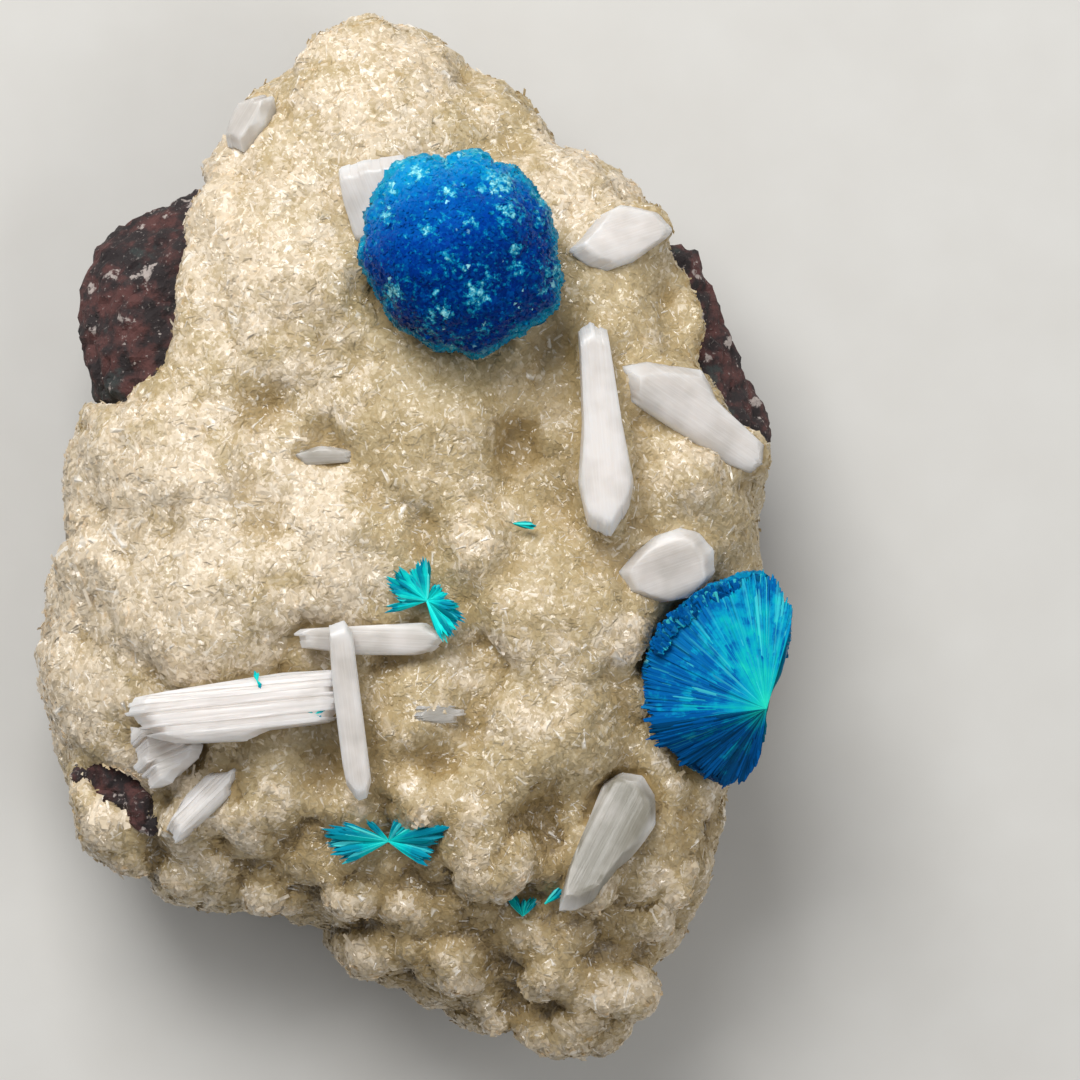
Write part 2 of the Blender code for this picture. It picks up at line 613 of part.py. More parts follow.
def spray(name, place, lift, blades, ground, home, material):
    """A plate cut into pointed blades that widen and rise away from the nucleus."""
    blades = sorted((angle % 360, length, width, rise) for angle, length, width, rise in blades)
    plate = flat_curve(name, spray_outline(blades), (0.0, 0.0), SPRAY_THICKNESS / 2)
    made = bpy.data.objects.new(name, plate)
    home.objects.link(made)
    made = settled(made, home, material)
    angles, _, _, rises = np.array(blades).T
    nucleus = Vector((*place, ground.height(*place) + lift)) * MM
    for vert in made.data.vertices:
        rise = np.interp(math.degrees(math.atan2(vert.co.y, vert.co.x)), angles, rises, period=360.0)
        vert.co.z += math.hypot(vert.co.x, vert.co.y) * math.tan(math.radians(rise))
        vert.co += nucleus
    return made


# ---------------------------------------------------------------- assembly
def make_room(made, home, material, seats):
    """Cuts a solid back from the seats of its neighbours, so that a gap stays between them."""
    for cutter in seats:
        if boxes_meet(made, cutter):
            cut_away(made, cutter)
    return settled(made, home, material)


def centre_on_back(solids):
    """Puts the middle of the whole object's plan at the origin."""
    corners = np.array([corner for made in solids for corner in made.bound_box])
    middle = (corners.min(axis=0) + corners.max(axis=0)) / 2
    for made in solids:
        made.data.transform(Matrix.Translation((-middle[0], -middle[1], 0.0)))


def main():
    clear_scene()
    home = collection("cavansite_on_matrix")
    cutters = collection("cutters", hidden=True)
    red_basalt = finish("red_basalt", (0.11, 0.05, 0.045), 0.85)
    tan_druse = finish("tan_druse", (0.62, 0.50, 0.33), 0.45)
    white_stilbite = finish("white_stilbite", (0.80, 0.76, 0.73), 0.35)
    blue_cavansite = finish("blue_cavansite", (0.005, 0.10, 0.50), 0.35)
    teal_cavansite = finish("teal_cavansite", (0.01, 0.48, 0.50), 0.35)

    rock = basalt(home)
    crust = druse_skin(home)
    ground = Ground(crust)

    # What grew first comes first: each later crystal makes room for the ones before it.
    grown = [(ball(home, blue_cavansite), blue_cavansite), (half_ball(home, teal_cavansite), teal_cavansite)]
    for name, shape in SPRAYS.items():
        grown.append((spray(name, *shape, ground, home, teal_cavansite), teal_cavansite))
    crossed = [blade(name, *shape, ground, home, white_stilbite) for name, shape in CROSSED_BLADES.items()]
    crossed_seats = [seat(made, cutters) for made in crossed]
    grown.append((fused("stilbite_crossed_cluster", crossed, home, white_stilbite), white_stilbite))
    for name, shape in BLADES.items():
        grown.append((blade(name, *shape, ground, home, white_stilbite), white_stilbite))

    solids = []
    seats = []
    for made, material in grown:
        own_seats = crossed_seats if made.name == "stilbite_crossed_cluster" else [seat(made, cutters)]
        solids.append(make_room(made, home, material, seats))
        seats += own_seats
    rock = make_room(rock, home, red_basalt, seats)

    thin_out(crust, CRUST_TRIANGLES)
    openings = [
        window("left_window", LEFT_WINDOW, LEFT_WINDOW_LEVELS, cutters),
        window("lower_window", LOWER_WINDOW, LOWER_WINDOW_LEVELS, cutters),
    ]
    crust = make_room(crust, home, tan_druse, openings + [seat(rock, cutters, hull=False)] + seats)
    centre_on_back(solids + [rock, crust])


main()
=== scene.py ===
"""Dresses the cavansite specimen: druse, stilbite blades, cavansite balls and sprays on basalt.

The specimen lies on its flat back and the camera looks straight down on its display face: +X is
the face's right, +Y its top and +Z points out of it. Sizes and places are in millimetres of the
drawing, MM turns them to metres, and SHIFT moves the drawing's plan to the frame's middle.
"""

import logging
import math
from dataclasses import dataclass, field
from enum import Enum

import bmesh
import bpy
import numpy as np
from mathutils import Euler, Matrix, Vector, noise
from mathutils.bvhtree import BVHTree


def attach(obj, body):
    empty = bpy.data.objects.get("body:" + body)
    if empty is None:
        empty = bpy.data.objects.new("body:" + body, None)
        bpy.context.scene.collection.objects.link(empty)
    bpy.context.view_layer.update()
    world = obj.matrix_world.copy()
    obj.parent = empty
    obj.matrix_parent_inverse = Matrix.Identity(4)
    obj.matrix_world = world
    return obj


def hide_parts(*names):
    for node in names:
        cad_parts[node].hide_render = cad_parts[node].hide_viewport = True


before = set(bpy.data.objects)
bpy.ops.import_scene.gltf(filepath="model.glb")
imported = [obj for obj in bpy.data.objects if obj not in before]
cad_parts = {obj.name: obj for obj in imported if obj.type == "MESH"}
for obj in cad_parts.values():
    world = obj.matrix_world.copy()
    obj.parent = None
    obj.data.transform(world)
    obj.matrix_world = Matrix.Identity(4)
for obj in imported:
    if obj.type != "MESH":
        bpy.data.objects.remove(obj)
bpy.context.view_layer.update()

MM = 0.001
SHIFT = np.array([0.091, -0.132, 0.0])
BODY = "root"
log = logging.getLogger("cavansite")


class Slot(Enum):
    """The record's material slots."""

    BASALT = "basalt"
    DRUSE = "druse"
    BLUE = "blue_cavansite"
    TEAL = "teal_cavansite"
    STILBITE = "stilbite"


class Tip(Enum):
    """How a small crystal ends."""

    CHISEL = "chisel"
    POINT = "point"
    SLANT = "slant"
    ROOF = "roof"


# ---------------------------------------------------------------- colour and nodes
COLOUR_MIX = {"data_type": "RGBA", "clamp_factor": True}
VECTOR_MIX = {"data_type": "VECTOR", "clamp_factor": True}
SMOOTH_STEP = {"interpolation_type": "SMOOTHSTEP"}
CLAMPED = {"use_clamp": True}

# Where a facet turns away from its ground's direction: the cosines at which the ground has no say
# in the finish, and its full say.
OPPOSED = -0.15
AGREED = 0.2


def linear(hex_colour: str) -> tuple[float, float, float, float]:
    """Turns an sRGB hex colour to the linear values that shaders take.

    Args:
        hex_colour: The colour as "#rrggbb".

    Returns:
        Red, green, blue and an alpha of 1.
    """
    parts = [int(hex_colour[n : n + 2], 16) / 255 for n in (1, 3, 5)]
    red, green, blue = (p / 12.92 if p <= 0.04045 else ((p + 0.055) / 1.055) ** 2.4 for p in parts)
    return red, green, blue, 1.0


def add_node(
    tree: bpy.types.NodeTree, kind: str, settings: dict | None = None, links: dict | None = None
) -> bpy.types.Node:
    """Adds a node to a tree.

    Args:
        tree: The shader or geometry tree.
        kind: The node's Blender type.
        settings: Values by name: the node's own properties, or its inputs by name or number. A
            colour is given as sRGB hex.
        links: What feeds each input, by name or number: a socket, or a node for its first result.

    Returns:
        The new node.
    """
    node = tree.nodes.new(kind)
    inputs = {}
    for key, value in (settings or {}).items():
        if isinstance(key, str) and hasattr(node, key):
            setattr(node, key, value)
        else:
            inputs[key] = linear(value) if isinstance(value, str) and value.startswith("#") else value
    for key, value in inputs.items():
        node.inputs[key].default_value = value
    for key, source in (links or {}).items():
        if isinstance(source, bpy.types.Node):
            source = next(socket for socket in source.outputs if socket.enabled)
        tree.links.new(source, node.inputs[key])
    return node


def new_material(name: str) -> tuple[bpy.types.Material, bpy.types.NodeTree]:
    """Makes a material with an empty tree.

    Args:
        name: The material's name.

    Returns:
        The material and its tree.
    """
    material = bpy.data.materials.new(name)
    material.use_nodes = True
    material.node_tree.nodes.clear()
    return material, material.node_tree


def soft_direction(tree: bpy.types.NodeTree, softness: float) -> bpy.types.Node:
    """Evens out the facets' own directions with the ground's, where the two roughly agree.

    Args:
        tree: The material's tree.
        softness: The largest share that the ground's direction takes.

    Returns:
        The node that gives the direction, not yet of unit length.
    """
    facet = add_node(tree, "ShaderNodeNewGeometry").outputs["Normal"]
    soft = add_node(tree, "ShaderNodeAttribute", {"attribute_name": "soft"}).outputs["Vector"]
    agree = add_node(tree, "ShaderNodeVectorMath", {"operation": "DOT_PRODUCT"}, {0: facet, 1: soft})
    share = add_node(
        tree,
        "ShaderNodeMapRange",
        {**SMOOTH_STEP, 1: OPPOSED, 2: AGREED, 4: softness},
        {0: agree.outputs["Value"]},
    )
    return add_node(tree, "ShaderNodeMix", VECTOR_MIX, {0: share, 4: facet, 5: soft})


def grain_direction(
    tree: bpy.types.NodeTree, cells: bpy.types.Node, softness: float, tilt: float
) -> bpy.types.Node:
    """Leans each grain its own way from the evened-out direction.

    Args:
        tree: The material's tree.
        cells: The Voronoi texture that parts the surface into grains.
        softness: The largest share that the ground's direction takes.
        tilt: How far a grain leans.

    Returns:
        The node that gives the direction.
    """
    lean = add_node(
        tree,
        "ShaderNodeVectorMath",
        {"operation": "SUBTRACT", 1: (0.5, 0.5, 0.5)},
        {0: cells.outputs["Color"]},
    )
    leant = add_node(
        tree,
        "ShaderNodeVectorMath",
        {"operation": "MULTIPLY_ADD", 1: (tilt, tilt, tilt)},
        {0: lean, 2: soft_direction(tree, softness)},
    )
    return add_node(tree, "ShaderNodeVectorMath", {"operation": "NORMALIZE"}, {0: leant})


# ---------------------------------------------------------------- finishes
@dataclass(frozen=True)
class DrusyStilbite:
    """Fine stilbite druse, grown as a sugar of small glassy crystals over a lumpy crust.

    Light goes from grain to grain, so the lumps look soft. That light and shade is painted in: cream on the
    crowns of the low domes, honey between the grains and in the hollows, darker in the creases and in the
    ball's shadow, with painted glints on the brightest grains' tips. Single faces still catch the lamp. The
    real grains start at 0.1 mm, too fine to show, so the grain is drawn at 0.34 mm.
    """

    # Crease and honey carry painted shade, honey also the grains' random tone; glint is a painted highlight.
    crease: str = "#6c562d"
    honey: str = "#a88f60"
    tan: str = "#bfab82"
    cream: str = "#e6d5bb"
    glint: str = "#fdf6ea"
    grain: float = 0.34
    softness: float = 0.9
    lean: float = 0.34
    coat_softness: float = 0.5
    coat_lean: float = 1.1
    roughness: float = 0.5

    def material(self) -> bpy.types.Material:
        """Builds the material from the ground's paleness and painted shade and the crystals' tone.

        Returns:
            The material.
        """
        material, tree = new_material("drusy_stilbite")
        place = add_node(tree, "ShaderNodeTexCoord").outputs["Object"]
        pale, shade_and_tawny, tone, tip = (
            add_node(tree, "ShaderNodeAttribute", {"attribute_name": name}).outputs["Fac"]
            for name in ("pale", "hollow", "tone", "tip")
        )
        cells = add_node(tree, "ShaderNodeTexVoronoi", {"Scale": 1 / (self.grain * MM)}, {"Vector": place})
        cloud = add_node(
            tree,
            "ShaderNodeTexNoise",
            {"Scale": 1 / (2.2 * MM), "Detail": 5.0, "Roughness": 0.62},
            {0: place},
        )
        cloud = add_node(tree, "ShaderNodeMapRange", {1: 0.32, 2: 0.68, 3: -0.45, 4: 0.45}, {0: cloud})
        paleness = add_node(tree, "ShaderNodeMath", {"operation": "ADD"}, {0: pale, 1: cloud})
        paleness = add_node(
            tree, "ShaderNodeMath", {"operation": "MULTIPLY_ADD", 1: 0.22}, {0: tone, 2: paleness}
        )
        paleness = add_node(tree, "ShaderNodeMapRange", {**SMOOTH_STEP, 1: 0.1, 2: 0.85}, {0: paleness})
        colour = add_node(tree, "ShaderNodeMix", {**COLOUR_MIX, 6: self.tan, 7: self.cream}, {0: paleness})
        # Painted shade: honey, then crease colour, the deeper the ground's painted shade, tawny patches
        # included.
        honeyed = add_node(tree, "ShaderNodeMapRange", {**SMOOTH_STEP, 2: 0.5}, {0: shade_and_tawny})
        colour = add_node(tree, "ShaderNodeMix", {**COLOUR_MIX, 7: self.honey}, {0: honeyed, 6: colour})
        painted_shade = add_node(tree, "ShaderNodeMapRange", {**SMOOTH_STEP, 1: 0.4}, {0: shade_and_tawny})
        colour = add_node(tree, "ShaderNodeMix", {**COLOUR_MIX, 7: self.crease}, {0: painted_shade, 6: colour})
        # Random tone for the grains; with no tone the ground between them gets painted shade in honey.
        shade = add_node(tree, "ShaderNodeMapRange", {1: 0.0, 2: 0.8, 3: 0.55, 4: 0.0}, {0: tone})
        colour = add_node(tree, "ShaderNodeMix", {**COLOUR_MIX, 7: self.honey}, {0: shade, 6: colour})
        # Painted glint: the tips of the brightest-toned grains are painted near white.
        bright = add_node(tree, "ShaderNodeMapRange", {**SMOOTH_STEP, 1: 0.84, 2: 0.98, 4: 0.95}, {0: tone})
        bright = add_node(tree, "ShaderNodeMath", {**CLAMPED, "operation": "MULTIPLY"}, {0: bright, 1: tip})
        colour = add_node(tree, "ShaderNodeMix", {**COLOUR_MIX, 7: self.glint}, {0: bright, 6: colour})
        shader = add_node(
            tree,
            "ShaderNodeBsdfPrincipled",
            {"Roughness": self.roughness, "IOR": 1.5, "Coat Weight": 0.85, "Coat Roughness": 0.1},
            {
                "Base Color": colour,
                "Normal": grain_direction(tree, cells, self.softness, self.lean),
                "Coat Normal": grain_direction(tree, cells, self.coat_softness, self.coat_lean),
            },
        )
        add_node(tree, "ShaderNodeOutputMaterial", None, {0: shader})
        return material


@dataclass(frozen=True)
class BladeStilbite:
    """Stilbite blade, a sheaf of laths: pearly, milky inside, with fine streaks along its length.

    The laths split far below 0.1 mm. The streaks are drawn about 0.11 mm wide and 4 mm long, so that they
    show. Edges and ends get a painted highlight in the same colour.
    """

    milk: str = "#f2ebe6"
    clear: str = "#8f8a7c"
    streak_and_highlight: str = "#fffdfb"
    streaks_per_metre: tuple[float, float, float] = (260.0, 9000.0, 260.0)

    def material(self) -> bpy.types.Material:
        """Builds the material; its streaks follow the blade's own UV map, in metres.

        Returns:
            The material.
        """
        material, tree = new_material("pearly_stilbite")
        along = add_node(tree, "ShaderNodeTexCoord")
        clearness, edge = (
            add_node(tree, "ShaderNodeAttribute", {"attribute_name": name}).outputs["Fac"]
            for name in ("clear", "edge")
        )
        stretched = add_node(
            tree, "ShaderNodeMapping", {"Scale": self.streaks_per_metre}, {0: along.outputs["UV"]}
        )
        fine = add_node(
            tree, "ShaderNodeTexNoise", {"Scale": 1.0, "Detail": 4.0, "Roughness": 0.6}, {0: stretched}
        )
        broad = add_node(
            tree, "ShaderNodeTexNoise", {"Scale": 1 / (2.2 * MM), "Detail": 2.0}, {0: along.outputs["Object"]}
        )
        cloud = add_node(tree, "ShaderNodeMapRange", {1: 0.35, 2: 0.65, 3: -0.15, 4: 0.15}, {0: broad})
        clearness = add_node(
            tree, "ShaderNodeMath", {**CLAMPED, "operation": "ADD"}, {0: clearness, 1: cloud}
        )
        colour = add_node(tree, "ShaderNodeMix", {**COLOUR_MIX, 6: self.milk, 7: self.clear}, {0: clearness})
        streaks = add_node(tree, "ShaderNodeMapRange", {**SMOOTH_STEP, 1: 0.4, 2: 0.75, 4: 0.34}, {0: fine})
        faint = add_node(tree, "ShaderNodeMapRange", {1: 0.0, 2: 1.0, 3: 1.0, 4: 0.3}, {0: clearness})
        streaks = add_node(tree, "ShaderNodeMath", {"operation": "MULTIPLY"}, {0: streaks, 1: faint})
        # Painted highlight: the edges are lit in the streaks' colour.
        bright = add_node(tree, "ShaderNodeMath", {**CLAMPED, "operation": "MAXIMUM"}, {0: streaks, 1: edge})
        colour = add_node(tree, "ShaderNodeMix", {**COLOUR_MIX, 7: self.streak_and_highlight}, {0: bright, 6: colour})
        bump = add_node(tree, "ShaderNodeBump", {"Strength": 0.5, "Distance": 0.03 * MM}, {"Height": fine})
        shader = add_node(
            tree,
            "ShaderNodeBsdfPrincipled",
            {
                "Roughness": 0.34,
                "IOR": 1.5,
                "Transmission Weight": 0.2,
                "Subsurface Weight": 0.8,
                "Subsurface Radius": (1.0, 0.93, 0.85),
                "Subsurface Scale": 1.6 * MM,
            },
            {"Base Color": colour, "Normal": bump},
        )
        add_node(tree, "ShaderNodeOutputMaterial", None, {0: shader})
        return material


@dataclass(frozen=True)
class BallCavansite:
    """Cavansite ball, the ends of thousands of radiating needles.

    Down their length the needles are deep blue. Towards the ball's waist they lie across the light, and thin
    ends and split sheaves shine through in cyan: painted light, in part the sheaves' own paler ends. The side
    towards the lamp is painted paler, the underside painted darker, and rare tips get a painted glint. The
    needles' ends are under 0.1 mm across, too fine to show, so the grain is drawn at 0.22 mm.
    """

    name: str
    centre: tuple[float, float, float]
    radius: float
    hues: tuple[str, ...] = ("#022a78", "#033a92", "#045cb0", "#068ecc")
    gleam: str = "#1c6fd8"
    # Side is painted light at the waist and, with the sheaves' own paler ends, in the sheaves; low is painted
    # shade below the middle; pale goes to the sheaves' ends and to painted glints.
    side: str = "#0fa6c4"
    low: str = "#05468a"
    pale: str = "#a6f0f4"
    hue_stops: tuple[float, ...] = (0.2, 0.5, 0.72, 1.0)
    grain: float = 0.22
    softness: float = 0.88
    lean: float = 0.34
    lit_side_way: tuple[float, float, float] = (-0.25, 0.85, -0.2)

    def material(self) -> bpy.types.Material:
        """Builds the material from the place on the ball and each needle's tone.

        Returns:
            The material.
        """
        material, tree = new_material(self.name)
        place = add_node(tree, "ShaderNodeTexCoord").outputs["Object"]
        tone, tip, sheaf = (
            add_node(tree, "ShaderNodeAttribute", {"attribute_name": name}).outputs["Fac"]
            for name in ("tone", "tip", "sheaf")
        )
        middle = tuple((np.array(self.centre) + SHIFT) * MM)
        span = self.radius * MM
        away = add_node(tree, "ShaderNodeVectorMath", {"operation": "SUBTRACT", 1: middle}, {0: place})
        broad = add_node(tree, "ShaderNodeTexNoise", {"Scale": 1 / (2.4 * MM), "Detail": 4.0}, {0: place})
        cells = add_node(tree, "ShaderNodeTexVoronoi", {"Scale": 1 / (self.grain * MM)}, {"Vector": place})
        chance = add_node(tree, "ShaderNodeSeparateColor", None, {0: cells.outputs["Color"]})

        # Painted light: the hue climbs towards cyan on the side that faces the lamp, with broad noise as its
        # own patchiness.
        toward = add_node(
            tree, "ShaderNodeVectorMath", {"operation": "DOT_PRODUCT", 1: self.lit_side_way}, {0: away}
        ).outputs["Value"]
        toward = add_node(
            tree, "ShaderNodeMapRange", {1: -0.6 * span, 2: 0.95 * span, 3: -0.2, 4: 0.8}, {0: toward}
        )
        hue = add_node(
            tree, "ShaderNodeMath", {**CLAMPED, "operation": "MULTIPLY_ADD", 1: 0.5}, {0: broad, 2: toward}
        )
        colour = add_node(tree, "ShaderNodeValToRGB", None, {"Fac": hue})
        while len(colour.color_ramp.elements) < len(self.hues):
            colour.color_ramp.elements.new(0.5)
        for element, stop, hex_colour in zip(colour.color_ramp.elements, self.hue_stops, self.hues):
            element.position = stop
            element.color = linear(hex_colour)

        # Painted light: about the waist the needles are painted cyan, as if lit through their thin ends.
        height = add_node(tree, "ShaderNodeSeparateXYZ", None, {0: away}).outputs["Z"]
        ragged = add_node(
            tree, "ShaderNodeMath", {"operation": "MULTIPLY_ADD", 1: 0.5 * span}, {0: broad, 2: height}
        )
        waist = add_node(
            tree, "ShaderNodeMapRange", {**SMOOTH_STEP, 1: 0.62 * span, 2: 0.36 * span}, {0: ragged}
        )
        frayed = add_node(tree, "ShaderNodeMapRange", {3: 0.35, 4: 1.0}, {0: chance.outputs[1]})
        waist = add_node(tree, "ShaderNodeMath", {**CLAMPED, "operation": "MULTIPLY"}, {0: waist, 1: frayed})
        colour = add_node(tree, "ShaderNodeMix", {**COLOUR_MIX, 7: self.side}, {0: waist, 6: colour})
        # Painted shade: below the ball's middle the blue is painted darker.
        under = add_node(
            tree, "ShaderNodeMapRange", {**SMOOTH_STEP, 1: 0.05 * span, 2: -0.5 * span, 4: 0.9}, {0: height}
        )
        colour = add_node(tree, "ShaderNodeMix", {**COLOUR_MIX, 7: self.low}, {0: under, 6: colour})
        speckle = add_node(tree, "ShaderNodeMapRange", {1: 0.4, 2: 1.0, 4: 0.15}, {0: chance.outputs[2]})
        colour = add_node(tree, "ShaderNodeMix", {**COLOUR_MIX, 7: self.hues[3]}, {0: speckle, 6: colour})
        # Sheaves: the needles' paler ends, with painted light; the strongest are painted glints.
        split = add_node(tree, "ShaderNodeTexNoise", {"Scale": 1 / (0.4 * MM), "Detail": 3.0}, {0: place})
        open_ends = add_node(
            tree, "ShaderNodeMath", {"operation": "MULTIPLY_ADD", 1: 2.6, 2: -1.3}, {0: split}
        )
        sheaf = add_node(tree, "ShaderNodeMath", {"operation": "ADD"}, {0: sheaf, 1: open_ends})
        lit = add_node(tree, "ShaderNodeMapRange", {**SMOOTH_STEP, 1: 0.15, 2: 0.75, 4: 0.8}, {0: sheaf})
        colour = add_node(tree, "ShaderNodeMix", {**COLOUR_MIX, 7: self.side}, {0: lit, 6: colour})
        glow = add_node(tree, "ShaderNodeMapRange", {**SMOOTH_STEP, 1: 0.5, 2: 1.0}, {0: sheaf})
        single = add_node(tree, "ShaderNodeMapRange", {1: 0.3, 2: 0.9, 3: 0.3}, {0: chance.outputs[0]})
        glow = add_node(tree, "ShaderNodeMath", {**CLAMPED, "operation": "MULTIPLY"}, {0: glow, 1: single})
        colour = add_node(tree, "ShaderNodeMix", {**COLOUR_MIX, 7: self.pale}, {0: glow, 6: colour})
        # Painted glint on the tips of rare needles.
        spark = add_node(tree, "ShaderNodeMapRange", {**SMOOTH_STEP, 1: 0.993, 2: 0.997}, {0: tone})
        spark = add_node(tree, "ShaderNodeMath", {**CLAMPED, "operation": "MULTIPLY"}, {0: spark, 1: tip})
        colour = add_node(tree, "ShaderNodeMix", {**COLOUR_MIX, 7: self.pale}, {0: spark, 6: colour})
        shader = add_node(
            tree,
            "ShaderNodeBsdfPrincipled",
            {"Roughness": 0.3, "IOR": 1.54, "Specular IOR Level": 0.12, "Specular Tint": self.gleam},
            {"Base Color": colour, "Normal": grain_direction(tree, cells, self.softness, self.lean)},
        )
        add_node(tree, "ShaderNodeOutputMaterial", None, {0: shader})
        return material


@dataclass(frozen=True)
class FanCavansite:
    """Broken cavansite: silky needles that run from green-blue at the nucleus to blue at the rim.

    Each needle takes its own tone: a low tone is painted shade and a high one a painted sheen in the gleam
    colour, which gives the break its satin sheen.
    """

    name: str
    nucleus: str
    middle: str
    rim: str
    tip: str
    # Dark is painted shade and gleam a painted sheen.
    dark: str
    gleam: str
    softness: float = 0.8

    def material(self) -> bpy.types.Material:
        """Builds the material from each needle's tone and how far out along it a place is.

        Returns:
            The material.
        """
        material, tree = new_material(self.name)
        reach, tone, hue = (
            add_node(tree, "ShaderNodeAttribute", {"attribute_name": name}).outputs["Fac"]
            for name in ("reach", "tone", "hue")
        )
        place = add_node(tree, "ShaderNodeTexCoord").outputs["Object"]
        patch = add_node(
            tree,
            "ShaderNodeTexNoise",
            {"Scale": 1 / (1.3 * MM), "Detail": 5.0, "Roughness": 0.62},
            {0: place},
        )
        patch = add_node(tree, "ShaderNodeMapRange", {1: 0.3, 2: 0.7, 3: -0.5, 4: 0.5}, {0: patch})
        bluer = add_node(tree, "ShaderNodeMath", {"operation": "MULTIPLY_ADD"}, {0: hue, 1: reach, 2: reach})
        bluer = add_node(tree, "ShaderNodeMath", {"operation": "MULTIPLY_ADD", 1: 0.3}, {0: hue, 2: bluer})
        bluer = add_node(
            tree, "ShaderNodeMath", {**CLAMPED, "operation": "MULTIPLY_ADD"}, {0: patch, 1: reach, 2: bluer}
        )
        colour = add_node(tree, "ShaderNodeValToRGB", None, {"Fac": bluer})
        stops = ((0.0, self.nucleus), (0.35, self.middle), (0.75, self.rim), (1.0, self.tip))
        while len(colour.color_ramp.elements) < len(stops):
            colour.color_ramp.elements.new(0.5)
        for element, (stop, hex_colour) in zip(colour.color_ramp.elements, stops):
            element.position = stop
            element.color = linear(hex_colour)
        # Painted shade for a low tone, a painted sheen in the gleam colour for a high one.
        shade = add_node(tree, "ShaderNodeMapRange", {**SMOOTH_STEP, 1: 0.4, 2: 0.0, 4: 0.9}, {0: tone})
        colour = add_node(tree, "ShaderNodeMix", {**COLOUR_MIX, 7: self.dark}, {0: shade, 6: colour})
        lit = add_node(tree, "ShaderNodeMapRange", {**SMOOTH_STEP, 1: 0.6, 2: 1.0, 4: 0.7}, {0: tone})
        colour = add_node(tree, "ShaderNodeMix", {**COLOUR_MIX, 7: self.gleam}, {0: lit, 6: colour})
        mean = soft_direction(tree, self.softness)
        normal = add_node(tree, "ShaderNodeVectorMath", {"operation": "NORMALIZE"}, {0: mean})
        shader = add_node(
            tree,
            "ShaderNodeBsdfPrincipled",
            {"Roughness": 0.35, "IOR": 1.54, "Specular IOR Level": 0.2, "Specular Tint": self.nucleus},
            {"Base Color": colour, "Normal": normal},
        )
        add_node(tree, "ShaderNodeOutputMaterial", None, {0: shader})
        return material


@dataclass(frozen=True)
class RedBasalt:
    """Weathered basalt, freshly broken: dull red-brown, with grey-green and chalky spots.

    The spots are small gas bubbles filled with minerals, 0.5 to 1 mm across. The rock's own grain
    is finer than 0.1 mm and is drawn at 0.3 mm, so that it shows.
    """

    red: str = "#56302c"
    dark: str = "#1e1314"
    green: str = "#2f3836"
    chalk: str = "#b9ada6"

    def material(self) -> bpy.types.Material:
        """Builds the material in layers of noise, the broad ones first.

        Returns:
            The material.
        """
        material, tree = new_material("red_basalt")
        place = add_node(tree, "ShaderNodeTexCoord").outputs["Object"]
        colour, height = None, None
        # Size of a spot in mm, the noise values between which it comes in, its share, its colour.
        layers = (
            (1.6, 0.42, 0.64, 1.0, self.red),
            (3.4, 0.56, 0.64, 0.8, self.green),
            (1.5, 0.61, 0.66, 0.8, self.chalk),
            (0.32, 0.55, 0.75, 0.55, self.dark),
            (0.26, 0.60, 0.72, 0.5, self.chalk),
        )
        for size, low, high, most, hue in layers:
            height = add_node(
                tree,
                "ShaderNodeTexNoise",
                {"Scale": 1 / (size * MM), "Detail": 5.0, "Roughness": 0.6},
                {"Vector": place},
            )
            share = add_node(
                tree, "ShaderNodeMapRange", {**SMOOTH_STEP, 1: low, 2: high, 4: most}, {0: height}
            )
            below = {6: colour} if colour else {}
            start = {} if colour else {6: self.dark}
            colour = add_node(tree, "ShaderNodeMix", {**COLOUR_MIX, **start, 7: hue}, {0: share, **below})
        bump = add_node(tree, "ShaderNodeBump", {"Strength": 0.8, "Distance": 0.15 * MM}, {"Height": height})
        shader = add_node(
            tree,
            "ShaderNodeBsdfPrincipled",
            {"Roughness": 0.85, "IOR": 1.6},
            {"Base Color": colour, "Normal": bump},
        )
        add_node(tree, "ShaderNodeOutputMaterial", None, {0: shader})
        return material


@dataclass(frozen=True)
class StudioCard:
    """Matt card under the specimen: pale warm grey with the faint mottle of paper."""

    light: str = "#d2d0cb"
    dark: str = "#cac7c1"

    def material(self) -> bpy.types.Material:
        """Builds the material.

        Returns:
            The material.
        """
        material, tree = new_material("studio_card")
        place = add_node(tree, "ShaderNodeTexCoord").outputs["Object"]
        mottle = add_node(tree, "ShaderNodeTexNoise", {"Scale": 1 / (6.0 * MM), "Detail": 3.0}, {0: place})
        colour = add_node(tree, "ShaderNodeMix", {**COLOUR_MIX, 6: self.light, 7: self.dark}, {0: mottle})
        shader = add_node(tree, "ShaderNodeBsdfPrincipled", {"Roughness": 0.9}, {"Base Color": colour})
        add_node(tree, "ShaderNodeOutputMaterial", None, {0: shader})
        return material


# ---------------------------------------------------------------- meshes
def mesh_from(name: str, points: np.ndarray, faces: list) -> bpy.types.Mesh:
    """Makes a mesh from points in mm of the frame.

    Args:
        name: The mesh's name.
        points: Corner places, one row each.
        faces: Corner numbers of each face.

    Returns:
        The mesh, its faces turned outwards.
    """
    mesh = bpy.data.meshes.new(name)
    mesh.from_pydata((np.asarray(points, float) * MM).tolist(), [], [tuple(f) for f in faces])
    bm = bmesh.new()
    bm.from_mesh(mesh)
    bmesh.ops.recalc_face_normals(bm, faces=bm.faces)
    bm.to_mesh(mesh)
    bm.free()
    return mesh


def corners(mesh: bpy.types.Mesh) -> np.ndarray:
    """Reads a mesh's vertex places.

    Args:
        mesh: The mesh.

    Returns:
        The places in mm, one row each.
    """
    flat = np.empty(len(mesh.vertices) * 3, np.float32)
    mesh.vertices.foreach_get("co", flat)
    return flat.reshape(-1, 3).astype(float) / MM


def place_corners(mesh: bpy.types.Mesh, points: np.ndarray) -> None:
    """Puts the mesh's vertices at places in mm."""
    mesh.vertices.foreach_set("co", (points * MM).astype(np.float32).ravel())
    mesh.update()


